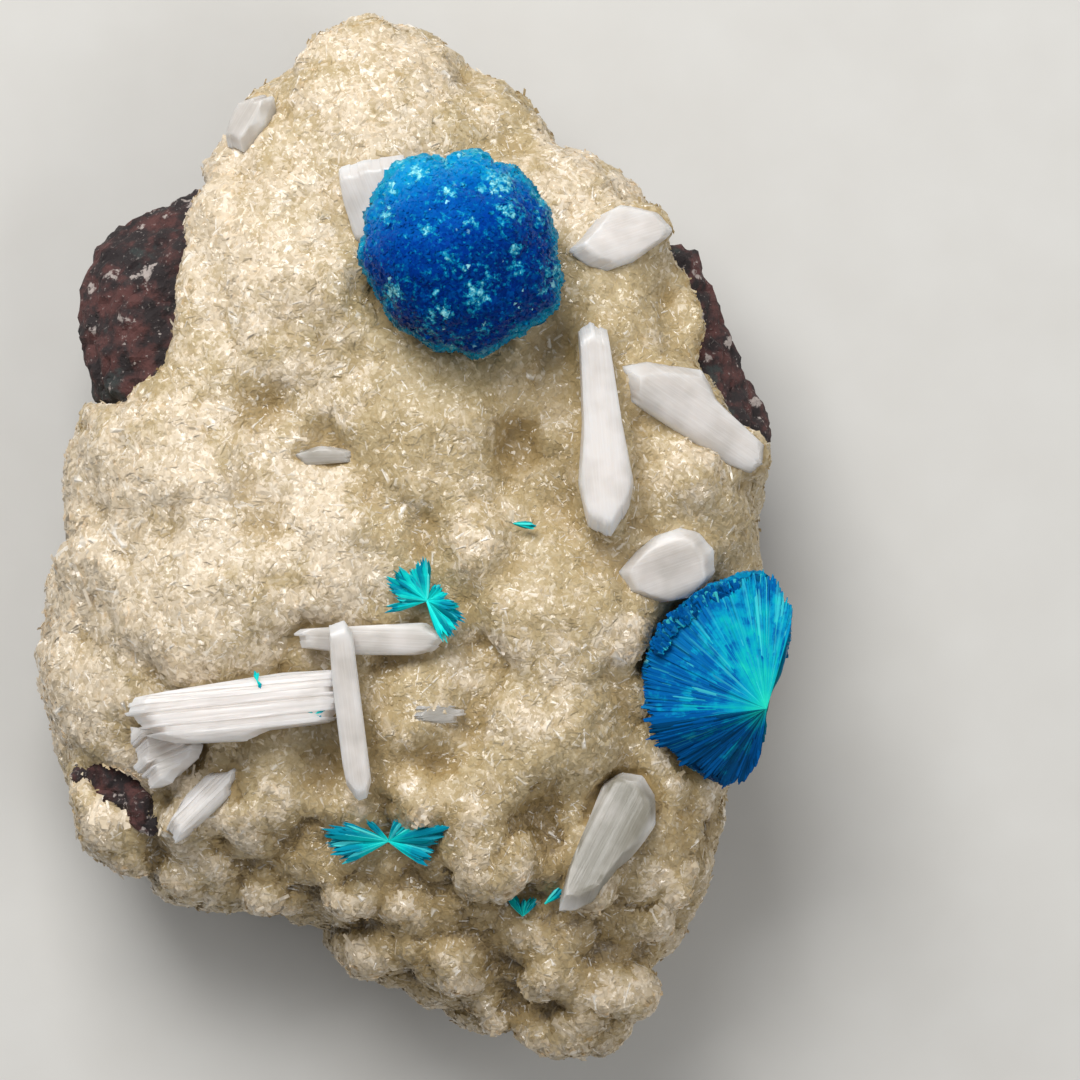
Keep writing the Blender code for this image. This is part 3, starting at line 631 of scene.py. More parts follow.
def corner_normals(mesh: bpy.types.Mesh) -> np.ndarray:
    """Reads a mesh's vertex normals.

    Args:
        mesh: The mesh.

    Returns:
        The normals, one row each.
    """
    flat = np.empty(len(mesh.vertices) * 3, np.float32)
    mesh.vertex_normals.foreach_get("vector", flat)
    return flat.reshape(-1, 3).astype(float)


def give(mesh: bpy.types.Mesh, name: str, values: np.ndarray) -> None:
    """Stores one number or one direction at each vertex.

    Args:
        mesh: The mesh.
        name: The values' name, by which a tree or a finish reads them.
        values: One number or one row of three for each vertex.
    """
    values = np.asarray(values, np.float32)
    if values.ndim == 1:
        mesh.attributes.new(name, "FLOAT", "POINT").data.foreach_set("value", values)
    else:
        mesh.attributes.new(name, "FLOAT_VECTOR", "POINT").data.foreach_set("vector", values.ravel())


def shown(name: str, mesh: bpy.types.Mesh, material: bpy.types.Material | None = None) -> bpy.types.Object:
    """Puts a mesh in the scene as an object at the origin.

    Args:
        name: The object's name.
        mesh: Its mesh.
        material: Its only material, or None to keep what the mesh has.

    Returns:
        The object.
    """
    made = bpy.data.objects.new(name, mesh)
    bpy.context.scene.collection.objects.link(made)
    if material is not None:
        mesh.materials.clear()
        mesh.materials.append(material)
    return made


def settled(made: bpy.types.Object) -> bpy.types.Mesh:
    """Turns an object and its modifiers into a plain mesh.

    Args:
        made: The object; it goes afterwards.

    Returns:
        The mesh.
    """
    graph = bpy.context.evaluated_depsgraph_get()
    mesh = bpy.data.meshes.new_from_object(made.evaluated_get(graph))
    bpy.data.objects.remove(made)
    return mesh


def hand_in(made: bpy.types.Object, slot: Slot, *nodes: str) -> bpy.types.Object:
    """Ties a finished piece to the frame and reports it.

    Args:
        made: The piece.
        slot: The material slot that it would take its finish from; not used.
        *nodes: The CAD nodes that it stands for.

    Returns:
        The piece.
    """
    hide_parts(*nodes)
    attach(made, BODY)
    triangles = sum(len(face.vertices) - 2 for face in made.data.polygons)
    log.info("%s stands for %s: %d triangles", made.name, ", ".join(nodes), triangles)
    return made


def merged_copy(node: str) -> bpy.types.Mesh:
    """Copies a CAD node's mesh and closes it.

    Args:
        node: The node's name.

    Returns:
        The copy.
    """
    bm = bmesh.new()
    bm.from_mesh(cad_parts[node].data)
    bmesh.ops.remove_doubles(bm, verts=bm.verts, dist=0.001 * MM)
    mesh = bpy.data.meshes.new(node + "_copy")
    bm.to_mesh(mesh)
    bm.free()
    return mesh


def voxel_skin(mesh: bpy.types.Mesh, voxel: float) -> bpy.types.Mesh:
    """Covers a closed mesh with an even skin of small quads.

    Args:
        mesh: The closed mesh.
        voxel: Size of a quad in mm.

    Returns:
        The new mesh.
    """
    made = shown(mesh.name + "_skin", mesh)
    remesh = made.modifiers.new("skin", "REMESH")
    remesh.mode = "VOXEL"
    remesh.voxel_size = voxel * MM
    return settled(made)


def relaxed(mesh: bpy.types.Mesh, values: np.ndarray, rounds: int) -> np.ndarray:
    """Evens out values, or places, over a mesh.

    Args:
        mesh: The mesh, for its edges.
        values: One row per vertex.
        rounds: How often each vertex takes the mean of its neighbours.

    Returns:
        The evened values.
    """
    flat = np.empty(len(mesh.edges) * 2, np.int32)
    mesh.edges.foreach_get("vertices", flat)
    first, second = flat.reshape(-1, 2).T
    count = len(mesh.vertices)
    degree = np.bincount(first, minlength=count) + np.bincount(second, minlength=count)
    values = np.atleast_2d(values.T).T.astype(float)
    for _ in range(rounds):
        columns = [
            np.bincount(first, values[second, n], count) + np.bincount(second, values[first, n], count)
            for n in range(values.shape[1])
        ]
        values = np.stack(columns, axis=1) / degree[:, None]
    return values.squeeze()


def give_soft_normals(mesh: bpy.types.Mesh, rounds: int, lowest: float = -1.0) -> None:
    """Stores the surface's own directions, evened out, as the soft side of its finish.

    Args:
        mesh: The surface.
        rounds: How far they are evened out.
        lowest: How far down they may face; light that passes through a rim keeps it from going dark.
    """
    soft = relaxed(mesh, corner_normals(mesh), rounds)
    soft[:, 2] = np.maximum(soft[:, 2], lowest)
    give(mesh, "soft", soft / np.linalg.norm(soft, axis=1)[:, None])


def tree_of(mesh: bpy.types.Mesh) -> BVHTree:
    """A search tree over a mesh, in metres."""
    faces = [tuple(p.vertices) for p in mesh.polygons]
    return BVHTree.FromPolygons([v.co[:] for v in mesh.vertices], faces)


def knob(cell: float, point: Vector, offset: float = 0.0) -> float:
    """Packed round knobs: 1 at a knob's middle, 0 in the creases between.

    Args:
        cell: Distance between knobs in mm.
        point: The place in mm.
        offset: Moves the pattern.

    Returns:
        The knob's height there.
    """
    near = noise.voronoi(point / cell + Vector((offset, offset, offset)))[0][0]
    return math.sqrt(max(0.0, 1.0 - (near / 0.85) ** 2))


# ---------------------------------------------------------------- crystals by Geometry Nodes
def small_crystal(
    name: str, tip: Tip, sides: tuple[float, float], height: float, root: float, shine: float = 1.0
) -> bpy.types.Object:
    """A tabular crystal of about 1 mm that a growth repeats and scales.

    Args:
        name: The object's name.
        tip: How it ends.
        sides: Its two widths in mm.
        height: Its height in mm.
        root: How much of its height goes into the ground, as a share.
        shine: How bright a painted glint on its tip may get.

    Returns:
        A hidden object, upright on the origin.
    """
    square = np.array([(-1, -1), (1, -1), (1, 1), (-1, 1)])
    ring = square * np.array(sides) / 2
    low, high, shoulder = -root * height, (1 - root) * height, (0.74 - root) * height
    points = [(x, y, low) for x, y in ring]
    if tip is Tip.ROOF:
        points += [(-0.32 * sides[0], 0.0, high), (0.32 * sides[0], 0.0, high)]
        faces = [(0, 3, 2, 1), (0, 1, 5, 4), (2, 3, 4, 5), (1, 2, 5), (3, 0, 4)]
    else:
        slope = 0.4 * height if tip is Tip.SLANT else 0.0
        points += [(x, y, shoulder + slope * x / sides[0]) for x, y in ring]
        faces = [(0, 3, 2, 1), (0, 1, 5, 4), (1, 2, 6, 5), (2, 3, 7, 6), (3, 0, 4, 7)]
    if tip is Tip.SLANT:
        faces.append((4, 5, 6, 7))
    elif tip is Tip.POINT:
        points.append((0.0, 0.0, high))
        faces += [(4, 5, 8), (5, 6, 8), (6, 7, 8), (7, 4, 8)]
    elif tip is Tip.CHISEL:
        points += [(-0.24 * sides[0], 0.0, high), (0.24 * sides[0], 0.0, high)]
        faces += [(4, 5, 9, 8), (6, 7, 8, 9), (5, 6, 9), (7, 4, 8)]
    mesh = mesh_from(name, points, faces)
    # The tip value says where a painted glint may go.
    give(mesh, "tip", [shine * max(0.0, z / high) for _, _, z in points])
    made = shown(name, mesh)
    made.hide_render = True
    return made


def group_tree(name: str, inputs: dict[str, str]) -> tuple[bpy.types.NodeTree, bpy.types.Node]:
    """Starts a Geometry Nodes tree.

    Args:
        name: The tree's name.
        inputs: Its named inputs and their socket types.

    Returns:
        The tree and its input node.
    """
    tree = bpy.data.node_groups.new(name, "GeometryNodeTree")
    tree.interface.new_socket("Geometry", in_out="INPUT", socket_type="NodeSocketGeometry")
    for label, kind in inputs.items():
        tree.interface.new_socket(label, in_out="INPUT", socket_type=kind)
    tree.interface.new_socket("Geometry", in_out="OUTPUT", socket_type="NodeSocketGeometry")
    return tree, add_node(tree, "NodeGroupInput")


def run_tree(made: bpy.types.Object, tree: bpy.types.NodeTree, values: dict) -> bpy.types.Mesh:
    """Runs a Geometry Nodes tree on an object and gives the plain mesh.

    Args:
        made: The object; it goes afterwards.
        tree: The tree.
        values: Its inputs by name.

    Returns:
        The mesh that the tree leaves.
    """
    nodes = made.modifiers.new(tree.name, "NODES")
    nodes.node_group = tree
    for socket in tree.interface.items_tree:
        if socket.in_out == "INPUT" and socket.name in values:
            nodes[socket.identifier] = values[socket.name]
    bpy.context.view_layer.update()
    return settled(made)


@dataclass
class Growth:
    """Small crystals that grow out of a surface, each leaning its own way.

    Where they stand, how many, how big, how pale: the ground tells it by its vertex values. Light
    passes through such small crystals, so they cast no shade of their own. The spacing is in mm
    and the lean in degrees; smallest and largest scale the shapes.
    """

    name: str
    shapes: list[bpy.types.Object]
    material: bpy.types.Material
    spacing: float
    smallest: float
    largest: float
    lean: float
    seed: int = 1
    shelf: bpy.types.Collection = field(init=False)
    tree: bpy.types.NodeTree = field(init=False)

    def __post_init__(self) -> None:
        """Gathers the crystal shapes and builds the tree."""
        self.shelf = bpy.data.collections.new(self.name + "_shapes")
        for shape in self.shapes:
            self.shelf.objects.link(shape)
        self.tree = self.build_tree()

    def build_tree(self) -> bpy.types.NodeTree:
        """Builds the tree that scatters, turns and sizes the crystals.

        Returns:
            The tree.
        """
        number, whole = "NodeSocketFloat", "NodeSocketInt"
        tree, given = group_tree(
            self.name,
            {
                "Shapes": "NodeSocketCollection",
                "Spacing": number,
                "Smallest": number,
                "Largest": number,
                "Lean": number,
                "Seed": whole,
                "Stretch": "NodeSocketString",
                "Material": "NodeSocketMaterial",
            },
        )
        feed = given.outputs
        kind = "GeometryNodeInputNamedAttribute"
        cover = add_node(tree, kind, {"data_type": "FLOAT"}, {"Name": feed["Stretch"]}).outputs[0]
        size = add_node(tree, kind, {"data_type": "FLOAT", "Name": "size"}).outputs[0]
        points = add_node(
            tree,
            "GeometryNodeDistributePointsOnFaces",
            {"distribute_method": "POISSON", "Density Max": 1e9},
            {
                "Mesh": feed["Geometry"],
                "Distance Min": feed["Spacing"],
                "Density Factor": cover,
                "Seed": feed["Seed"],
            },
        )
        back = add_node(tree, "ShaderNodeMath", {"operation": "MULTIPLY", 1: -1.0}, {0: feed["Lean"]})
        least, most = (
            add_node(tree, "ShaderNodeCombineXYZ", {"Z": turn}, {"X": lean, "Y": lean}).outputs[0]
            for turn, lean in ((-math.pi, back.outputs[0]), (math.pi, feed["Lean"]))
        )
        turn = add_node(
            tree,
            "FunctionNodeRandomValue",
            {"data_type": "FLOAT_VECTOR"},
            {0: least, 1: most, "Seed": feed["Seed"]},
        )
        turn = add_node(tree, "FunctionNodeEulerToRotation", None, {0: turn.outputs[0]})
        turned = add_node(
            tree,
            "FunctionNodeRotateRotation",
            {"rotation_space": "LOCAL"},
            {0: points.outputs["Rotation"], 1: turn.outputs[0]},
        )
        scale = add_node(
            tree,
            "FunctionNodeRandomValue",
            {"data_type": "FLOAT"},
            {2: feed["Smallest"], 3: feed["Largest"], "Seed": feed["Seed"]},
        ).outputs[1]
        scale = add_node(tree, "ShaderNodeMath", {"operation": "MULTIPLY"}, {0: scale, 1: size}).outputs[0]
        vary = add_node(
            tree,
            "FunctionNodeRandomValue",
            {"data_type": "FLOAT_VECTOR", 0: (0.75, 0.75, 0.85), 1: (1.3, 1.3, 1.2), "Seed": 7},
        )
        scale = add_node(
            tree, "ShaderNodeVectorMath", {"operation": "MULTIPLY"}, {0: scale, 1: vary.outputs[0]}
        )
        shapes = add_node(
            tree,
            "GeometryNodeCollectionInfo",
            {"Separate Children": True, "Reset Children": True},
            {"Collection": feed["Shapes"]},
        )
        pick = add_node(
            tree, "FunctionNodeRandomValue", {"data_type": "INT", 4: 0, 5: len(self.shapes) - 1, "Seed": 3}
        )
        crystals = add_node(
            tree,
            "GeometryNodeInstanceOnPoints",
            {"Pick Instance": True},
            {
                "Points": points.outputs["Points"],
                "Instance": shapes.outputs[0],
                "Instance Index": pick.outputs[2],
                "Rotation": turned.outputs[0],
                "Scale": scale.outputs[0],
            },
        )
        tone = add_node(tree, "FunctionNodeRandomValue", {"data_type": "FLOAT", "Seed": 11})
        toned = add_node(
            tree,
            "GeometryNodeStoreNamedAttribute",
            {"data_type": "FLOAT", "domain": "INSTANCE", "Name": "tone"},
            {"Geometry": crystals.outputs[0], "Value": tone.outputs[1]},
        )
        real = add_node(tree, "GeometryNodeRealizeInstances", None, {0: toned.outputs[0]})
        dressed = add_node(
            tree,
            "GeometryNodeSetMaterial",
            None,
            {"Geometry": real.outputs[0], "Material": feed["Material"]},
        )
        add_node(tree, "NodeGroupOutput", None, {0: dressed.outputs[0]})
        return tree

    def grow(self, name: str, ground: bpy.types.Mesh, stretch: str, seed: int) -> bpy.types.Object:
        """Grows the crystals on one stretch of the ground.

        Args:
            name: The new piece's name.
            ground: The ground's mesh, with its vertex values.
            stretch: The vertex value that says how much grows where.
            seed: The stretch's own seed.

        Returns:
            The piece.
        """
        mesh = run_tree(
            shown(name + "_ground", ground),
            self.tree,
            {
                "Shapes": self.shelf,
                "Spacing": self.spacing * MM,
                "Smallest": self.smallest,
                "Largest": self.largest,
                "Lean": math.radians(self.lean),
                "Seed": self.seed + seed,
                "Stretch": stretch,
                "Material": self.material,
            },
        )
        mesh.name = name
        grown = shown(name, mesh)
        grown.visible_shadow = False
        return grown

    def clear(self) -> None:
        """Takes the shapes away once all has grown."""
        for shape in self.shapes:
            bpy.data.objects.remove(shape)
        bpy.data.collections.remove(self.shelf)


# ---------------------------------------------------------------- the druse
# A dome's height against its radius, and how far a bed swells past its crystal and sinks, in mm.
FLATTENING = 0.85
BED_SWELL = 0.3
BED_SINK = 0.95


@dataclass(frozen=True)
class Patch:
    """A round place on the face where a value is strong: plan place, radius and strength."""

    x: float
    y: float
    radius: float
    strength: float

    def at(self, points: np.ndarray) -> np.ndarray:
        """How strong the patch is at each point."""
        share = 1 - ((points[:, 0] - self.x) ** 2 + (points[:, 1] - self.y) ** 2) / self.radius**2
        return self.strength * np.clip(share, 0, 1) ** 0.7


@dataclass(frozen=True)
class Lump:
    """A round dome on the ground: plan place, height of its crown and radius, in mm."""

    x: float
    y: float
    crown: float
    radius: float

    def add_to(self, bm: bmesh.types.BMesh) -> None:
        """Adds the dome to a mesh as a flattened ball that the skin then takes in.

        Args:
            bm: The mesh.
        """
        middle = (Vector((self.x, self.y, self.crown - FLATTENING * self.radius)) + Vector(SHIFT)) * MM
        shape = Matrix.Translation(middle) @ Matrix.Diagonal((1.0, 1.0, FLATTENING, 1.0))
        bmesh.ops.create_icosphere(bm, subdivisions=3, radius=self.radius * MM, matrix=shape)


def lumped(mesh: bpy.types.Mesh, lumps: tuple[Lump, ...], beds: tuple[str, ...] = ()) -> bpy.types.Mesh:
    """Adds domes to a solid, and a bed that rises round each crystal that lies in it.

    Args:
        mesh: The solid.
        lumps: The domes.
        beds: The crystals' nodes.

    Returns:
        A mesh of solids that overlap, for a skin to cover.
    """
    bm = bmesh.new()
    bm.from_mesh(mesh)
    for name in beds:
        crystal = merged_copy(name)
        swollen = corners(crystal) + BED_SWELL * corner_normals(crystal)
        place_corners(crystal, swollen - np.array([0.0, 0.0, BED_SINK]))
        bm.from_mesh(crystal)
    for lump in lumps:
        lump.add_to(bm)
    whole = bpy.data.meshes.new(mesh.name + "_lumped")
    bm.to_mesh(whole)
    bm.free()
    return whole


@dataclass
class DruseCrust:
    """The crust of fine stilbite: a knobbly ground and the small blades that cover it.

    The patches say where it is pale or tawny, and where shade is painted in: in the recesses and in the
    ball's shadow. The ground lies inside the solid's skin by the inset, in mm, so that the crystals' tips
    reach it. The grains grow in stretches from the bottom to the top, which keeps each piece small. Knobs and
    swell are a height and the distance between two, in mm. Lumpy and crowned say below which place on the
    face, in mm, it gets domes, with painted light on their crowns and painted shade between them, and over
    how many mm that comes in.
    """

    material: bpy.types.Material
    voxel: float = 0.34
    inset: float = 0.3
    stretches: int = 4
    smoothing: int = 12
    coarse_knobs: tuple[float, float] = (0.42, 1.7)
    fine_knobs: tuple[float, float] = (0.26, 0.85)
    swell: tuple[float, float] = (0.45, 3.1)
    dome_spacing: float = 2.9
    lumpy: tuple[float, float] = (-15.0, 8.0)
    crowned: tuple[float, float] = (-12.0, 6.0)
    pale: tuple[Patch, ...] = (
        Patch(-3.0, 28.0, 9.0, 0.6), Patch(-11.5, 19.0, 9.0, 0.75), Patch(-13.7, 20.6, 4.2, 1.0),
        Patch(-12.5, 24.5, 4.0, 0.9), Patch(-21.5, -6.0, 6.0, 0.8), Patch(-21.0, 4.0, 6.0, 0.7),
        Patch(-17.0, 3.0, 9.0, 0.7), Patch(-8.0, 11.0, 6.0, 0.5), Patch(-11.1, 6.9, 4.6, 0.7),
        Patch(-7.3, 2.4, 4.8, 0.85), Patch(-13.7, 1.1, 5.0, 0.8), Patch(-5.3, -2.7, 4.2, 0.8),
        Patch(-14.9, -5.3, 6.0, 0.8), Patch(-20.0, -3.0, 6.0, 0.7), Patch(-9.0, -4.5, 5.0, 0.6),
        Patch(-16.5, -15.0, 4.0, 0.7), Patch(-12.5, -19.5, 4.0, 0.5), Patch(6.0, -8.5, 6.0, 0.4),
        Patch(11.0, 23.5, 5.5, 0.6), Patch(18.0, 4.0, 4.5, 0.45), Patch(3.8, 1.0, 3.4, 0.5),
        Patch(14.0, -21.0, 3.4, 0.4), Patch(13.5, -6.8, 2.6, 0.5), Patch(-22.8, -1.5, 7.5, 1.2),
        Patch(-23.0, -10.0, 5.0, 1.0),
    )  # fmt: skip
    tawny: tuple[Patch, ...] = (
        Patch(4.0, -29.0, 15.0, 0.55), Patch(-6.0, -23.0, 8.0, 0.4), Patch(19.0, -20.0, 9.0, 0.45),
        Patch(10.0, 8.0, 7.0, 0.3), Patch(-2.0, -14.0, 6.0, 0.35),
    )  # fmt: skip
    # Painted shade: recesses and the ball's shadow, painted honey-brown.
    painted_shade: tuple[Patch, ...] = (
        Patch(-10.0, 8.6, 2.4, 0.55), Patch(-6.8, 6.4, 2.0, 0.5), Patch(6.8, 6.0, 3.2, 0.6),
        Patch(9.5, 11.5, 4.0, 0.35), Patch(-3.2, -13.0, 2.4, 0.6), Patch(4.2, -19.8, 3.6, 0.4),
        Patch(14.5, -10.4, 2.6, 0.6), Patch(13.4, -14.6, 2.6, 0.5), Patch(-11.4, -15.2, 2.2, 0.5),
        Patch(-1.6, -7.8, 1.6, 0.7), Patch(9.0, -26.0, 4.0, 0.35), Patch(-1.0, -25.5, 3.0, 0.4),
    )  # fmt: skip
    lumps: tuple[Lump, ...] = (
        Lump(4.6, -20.8, 21.0, 2.1), Lump(-0.5, -23.3, 16.9, 1.9), Lump(4.1, -17.5, 21.6, 2.2),
        Lump(0.2, -17.3, 21.4, 1.7), Lump(8.4, -27.5, 15.9, 2.3), Lump(2.1, -27.1, 15.3, 2.2),
        Lump(-2.5, -25.9, 14.0, 2.2), Lump(12.5, -29.2, 14.6, 2.8), Lump(9.2, -31.3, 12.7, 1.9),
        Lump(5.0, -30.2, 12.1, 1.8), Lump(-4.2, -22.5, 17.4, 1.8), Lump(-8.8, -22.4, 15.1, 1.8),
        Lump(-14.7, -21.7, 14.6, 1.6), Lump(-12.2, -22.5, 13.7, 1.6), Lump(-20.1, -18.6, 15.6, 1.7),
        Lump(-18.0, -20.2, 14.4, 1.7), Lump(15.0, -24.0, 15.6, 1.7), Lump(16.0, -22.3, 16.5, 1.6),
        Lump(17.0, 16.2, 16.3, 1.3), Lump(17.3, 15.0, 16.7, 1.3), Lump(17.6, 13.8, 16.9, 1.3),
        Lump(17.3, 12.6, 16.9, 1.3), Lump(17.3, 11.5, 16.9, 1.2), Lump(17.7, 10.4, 16.9, 1.1),
        Lump(18.4, 9.2, 16.8, 1.1), Lump(19.3, 8.2, 16.5, 1.0), Lump(20.3, 7.3, 16.2, 1.0),
        Lump(21.4, 6.4, 15.7, 1.0), Lump(13.2, -8.3, 18.8, 1.6), Lump(13.0, -10.2, 18.6, 1.6),
        Lump(13.9, -6.3, 19.0, 1.5), Lump(13.8, -12.2, 18.2, 1.6), Lump(15.2, -14.0, 17.6, 1.5),
        Lump(17.0, 8.4, 16.8, 1.7), Lump(18.2, 7.0, 16.8, 1.7),
        Lump(19.4, 6.0, 16.6, 1.7), Lump(20.8, 5.2, 16.3, 1.5), Lump(17.2, 6.2, 17.8, 1.6),
        Lump(22.0, 4.5, 15.6, 1.2), Lump(-5.6, 6.5, 18.8, 1.4), Lump(-7.6, 6.4, 19.0, 1.2),
        Lump(-19.9, -14.0, 16.6, 0.9), Lump(-21.5, -16.2, 15.0, 0.8), Lump(-20.4, -17.3, 15.9, 0.8),
        Lump(-17.4, -15.3, 16.9, 0.8), Lump(-18.5, -14.3, 17.0, 0.7), Lump(-18.9, -18.1, 16.0, 0.8),
        Lump(14.6, -9.6, 18.6, 1.3), Lump(14.8, -11.6, 18.2, 1.2), Lump(12.6, -18.0, 18.3, 2.2),
        Lump(11.6, -20.4, 19.2, 1.8), Lump(11.3, -22.6, 19.4, 1.4),
    )  # fmt: skip
    beds: tuple[str, ...] = (
        "stilbite_upright", "stilbite_right_blade", "stilbite_upper_right", "stilbite_by_half_ball",
        "stilbite_lower_left", "stilbite_behind_ball", "stilbite_upper_edge", "stilbite_mid_left",
    )  # fmt: skip

    def ground(self) -> bpy.types.Mesh:
        """Builds the knobbly ground with the values that the crystals read.

        Returns:
            The ground's mesh.
        """
        mesh = voxel_skin(lumped(merged_copy("druse_crust"), self.lumps, self.beds), self.voxel)
        points = relaxed(mesh, corners(mesh), self.smoothing)
        place_corners(mesh, points)
        normals = corner_normals(mesh)
        rough = np.empty(len(points))
        for n, (x, y, z) in enumerate(points):
            p = Vector((x, y, z))
            knobs = self.coarse_knobs[0] * knob(self.coarse_knobs[1], p)
            knobs += self.fine_knobs[0] * knob(self.fine_knobs[1], p, 4.1)
            steep = min(1.0, max(0.0, (0.75 - normals[n, 2]) / 0.4))
            low = min(1.0, max(0.0, (self.lumpy[0] - y) / self.lumpy[1]))
            domes = (1.15 * low + 0.5 * steep) * (knob(self.dome_spacing, p, 7.7) - 0.45)
            rough[n] = knobs + domes + self.swell[0] * noise.noise(p / self.swell[1]) - 0.4
        points = points + normals * (rough - self.inset)[:, None]
        place_corners(mesh, points)
        smooth = relaxed(mesh, points, 40)
        depth = np.einsum("ij,ij->i", smooth - points, normals)
        give_soft_normals(mesh, 3, 0.35)
        self.value(mesh, points, normals, depth)
        return mesh

    def value(
        self, mesh: bpy.types.Mesh, points: np.ndarray, normals: np.ndarray, depth: np.ndarray
    ) -> None:
        """Gives the ground its values: where crystals grow, their size, paleness, and painted shade with the
        tawny patches.

        Args:
            mesh: The ground.
            points: Its vertices in mm.
            normals: Their normals.
            depth: How far each lies below its surroundings, in mm.
        """
        plan = points - SHIFT
        pale = np.zeros(len(points))
        for patch in self.pale:
            pale = np.maximum(pale, patch.at(plan))
        low = np.clip((self.crowned[0] - plan[:, 1]) / self.crowned[1], 0, 1)
        # Painted light: in the low zone the crowns of the domes are painted pale.
        pale = np.maximum(pale, 0.6 * np.clip((-0.05 - depth) / 0.35, 0, 1) * low)
        # Painted shade: darker the deeper a place lies below its surroundings, and between the domes of the
        # low zone.
        shade_and_tawny = np.clip(depth / 0.7, 0, 1) * 0.6
        shade_and_tawny = np.maximum(shade_and_tawny, np.clip(0.18 + depth / 0.3, 0, 1) * low)
        # Painted shade in the recesses and the ball's shadow that these patches mark.
        for patch in self.painted_shade:
            shade_and_tawny = np.maximum(shade_and_tawny, patch.at(plan) * np.clip(0.6 + depth / 0.5, 0, 1))
        for patch in self.tawny:
            shade_and_tawny = np.maximum(shade_and_tawny, patch.at(plan) * np.clip(1.0 + depth / 0.5, 0.3, 1))
        # Painted shade also takes paleness away.
        give(mesh, "pale", np.clip(pale - 0.6 * shade_and_tawny, 0, 1))
        give(mesh, "hollow", np.clip(shade_and_tawny, 0, 1))
        give(mesh, "tip", np.zeros(len(points)))
        # Painted shade: with a tone of 0 the ground between the grains takes the honey.
        give(mesh, "tone", np.zeros(len(points)))
        give(mesh, "size", 1.0 + 0.5 * pale)
        cover = self.cover(points, normals)
        give(mesh, "cover", cover)
        order = np.argsort(points[:, 1])
        total = np.cumsum(cover[order])
        band = np.empty(len(points), int)
        band[order] = np.minimum((total / total[-1] * self.stretches).astype(int), self.stretches - 1)
        for number in range(self.stretches):
            give(mesh, f"stretch_{number}", cover * (band == number))

    def cover(self, points: np.ndarray, normals: np.ndarray) -> np.ndarray:
        """How thickly crystals grow: all over the open face, none against basalt or under blades.

        Args:
            points: Ground vertices in mm.
            normals: Their normals.

        Returns:
            A share from 0 to 1 for each.
        """
        rock = tree_of(merged_copy("basalt_matrix"))
        set_in = [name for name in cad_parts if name.startswith(("stilbite", "cavansite"))]
        crystals = [tree_of(merged_copy(name)) for name in set_in]
        cover = np.ones(len(points))
        for n, (p, d) in enumerate(zip(points, normals)):
            start, way = Vector(p) * MM, Vector(d)
            if rock.ray_cast(start, way, 1.6 * MM)[0] is not None:
                cover[n] = 0.0
            elif any(tree.ray_cast(start, way, 0.7 * MM)[0] is not None for tree in crystals):
                cover[n] = 0.15
        cover[normals[:, 2] < -0.3] *= 0.5
        return cover

    def build(self) -> None:
        """Builds the ground and all stretches of grains and small blades.

        Real grains start at 0.1 mm. These are drawn 0.2 mm long and more, coarse enough to show.
        """
        ground = self.ground()
        grains = Growth(
            "druse_grains",
            [
                small_crystal("grain_roof", Tip.ROOF, (0.52, 0.34), 0.11, 0.45, 0.3),
                small_crystal("grain_block", Tip.ROOF, (0.42, 0.38), 0.12, 0.45, 0.3),
                small_crystal("grain_lath", Tip.ROOF, (0.78, 0.24), 0.09, 0.45, 0.6),
                small_crystal("grain_needle", Tip.ROOF, (0.8, 0.11), 0.07, 0.3),
            ],
            self.material,
            spacing=0.18,
            smallest=0.6,
            largest=1.2,
            lean=10.0,
            seed=20,
        )
        blades = Growth(
            "druse_blades",
            [
                small_crystal("blade_roof", Tip.ROOF, (1.2, 0.36), 0.14, 0.4),
                small_crystal("blade_thin", Tip.ROOF, (1.4, 0.18), 0.09, 0.3),
                small_crystal("blade_block", Tip.ROOF, (0.7, 0.5), 0.2, 0.4),
            ],
            self.material,
            spacing=0.9,
            smallest=0.5,
            largest=1.1,
            lean=13.0,
            seed=60,
        )
        for number in range(self.stretches):
            made = grains.grow(f"druse_grains_{number}", ground.copy(), f"stretch_{number}", number)
            hand_in(made, Slot.DRUSE, "druse_crust")
        hand_in(blades.grow("druse_blades", ground.copy(), "cover", 0), Slot.DRUSE, "druse_crust")
        grains.clear()
        blades.clear()
        hand_in(shown("druse_ground", ground, self.material), Slot.DRUSE, "druse_crust")


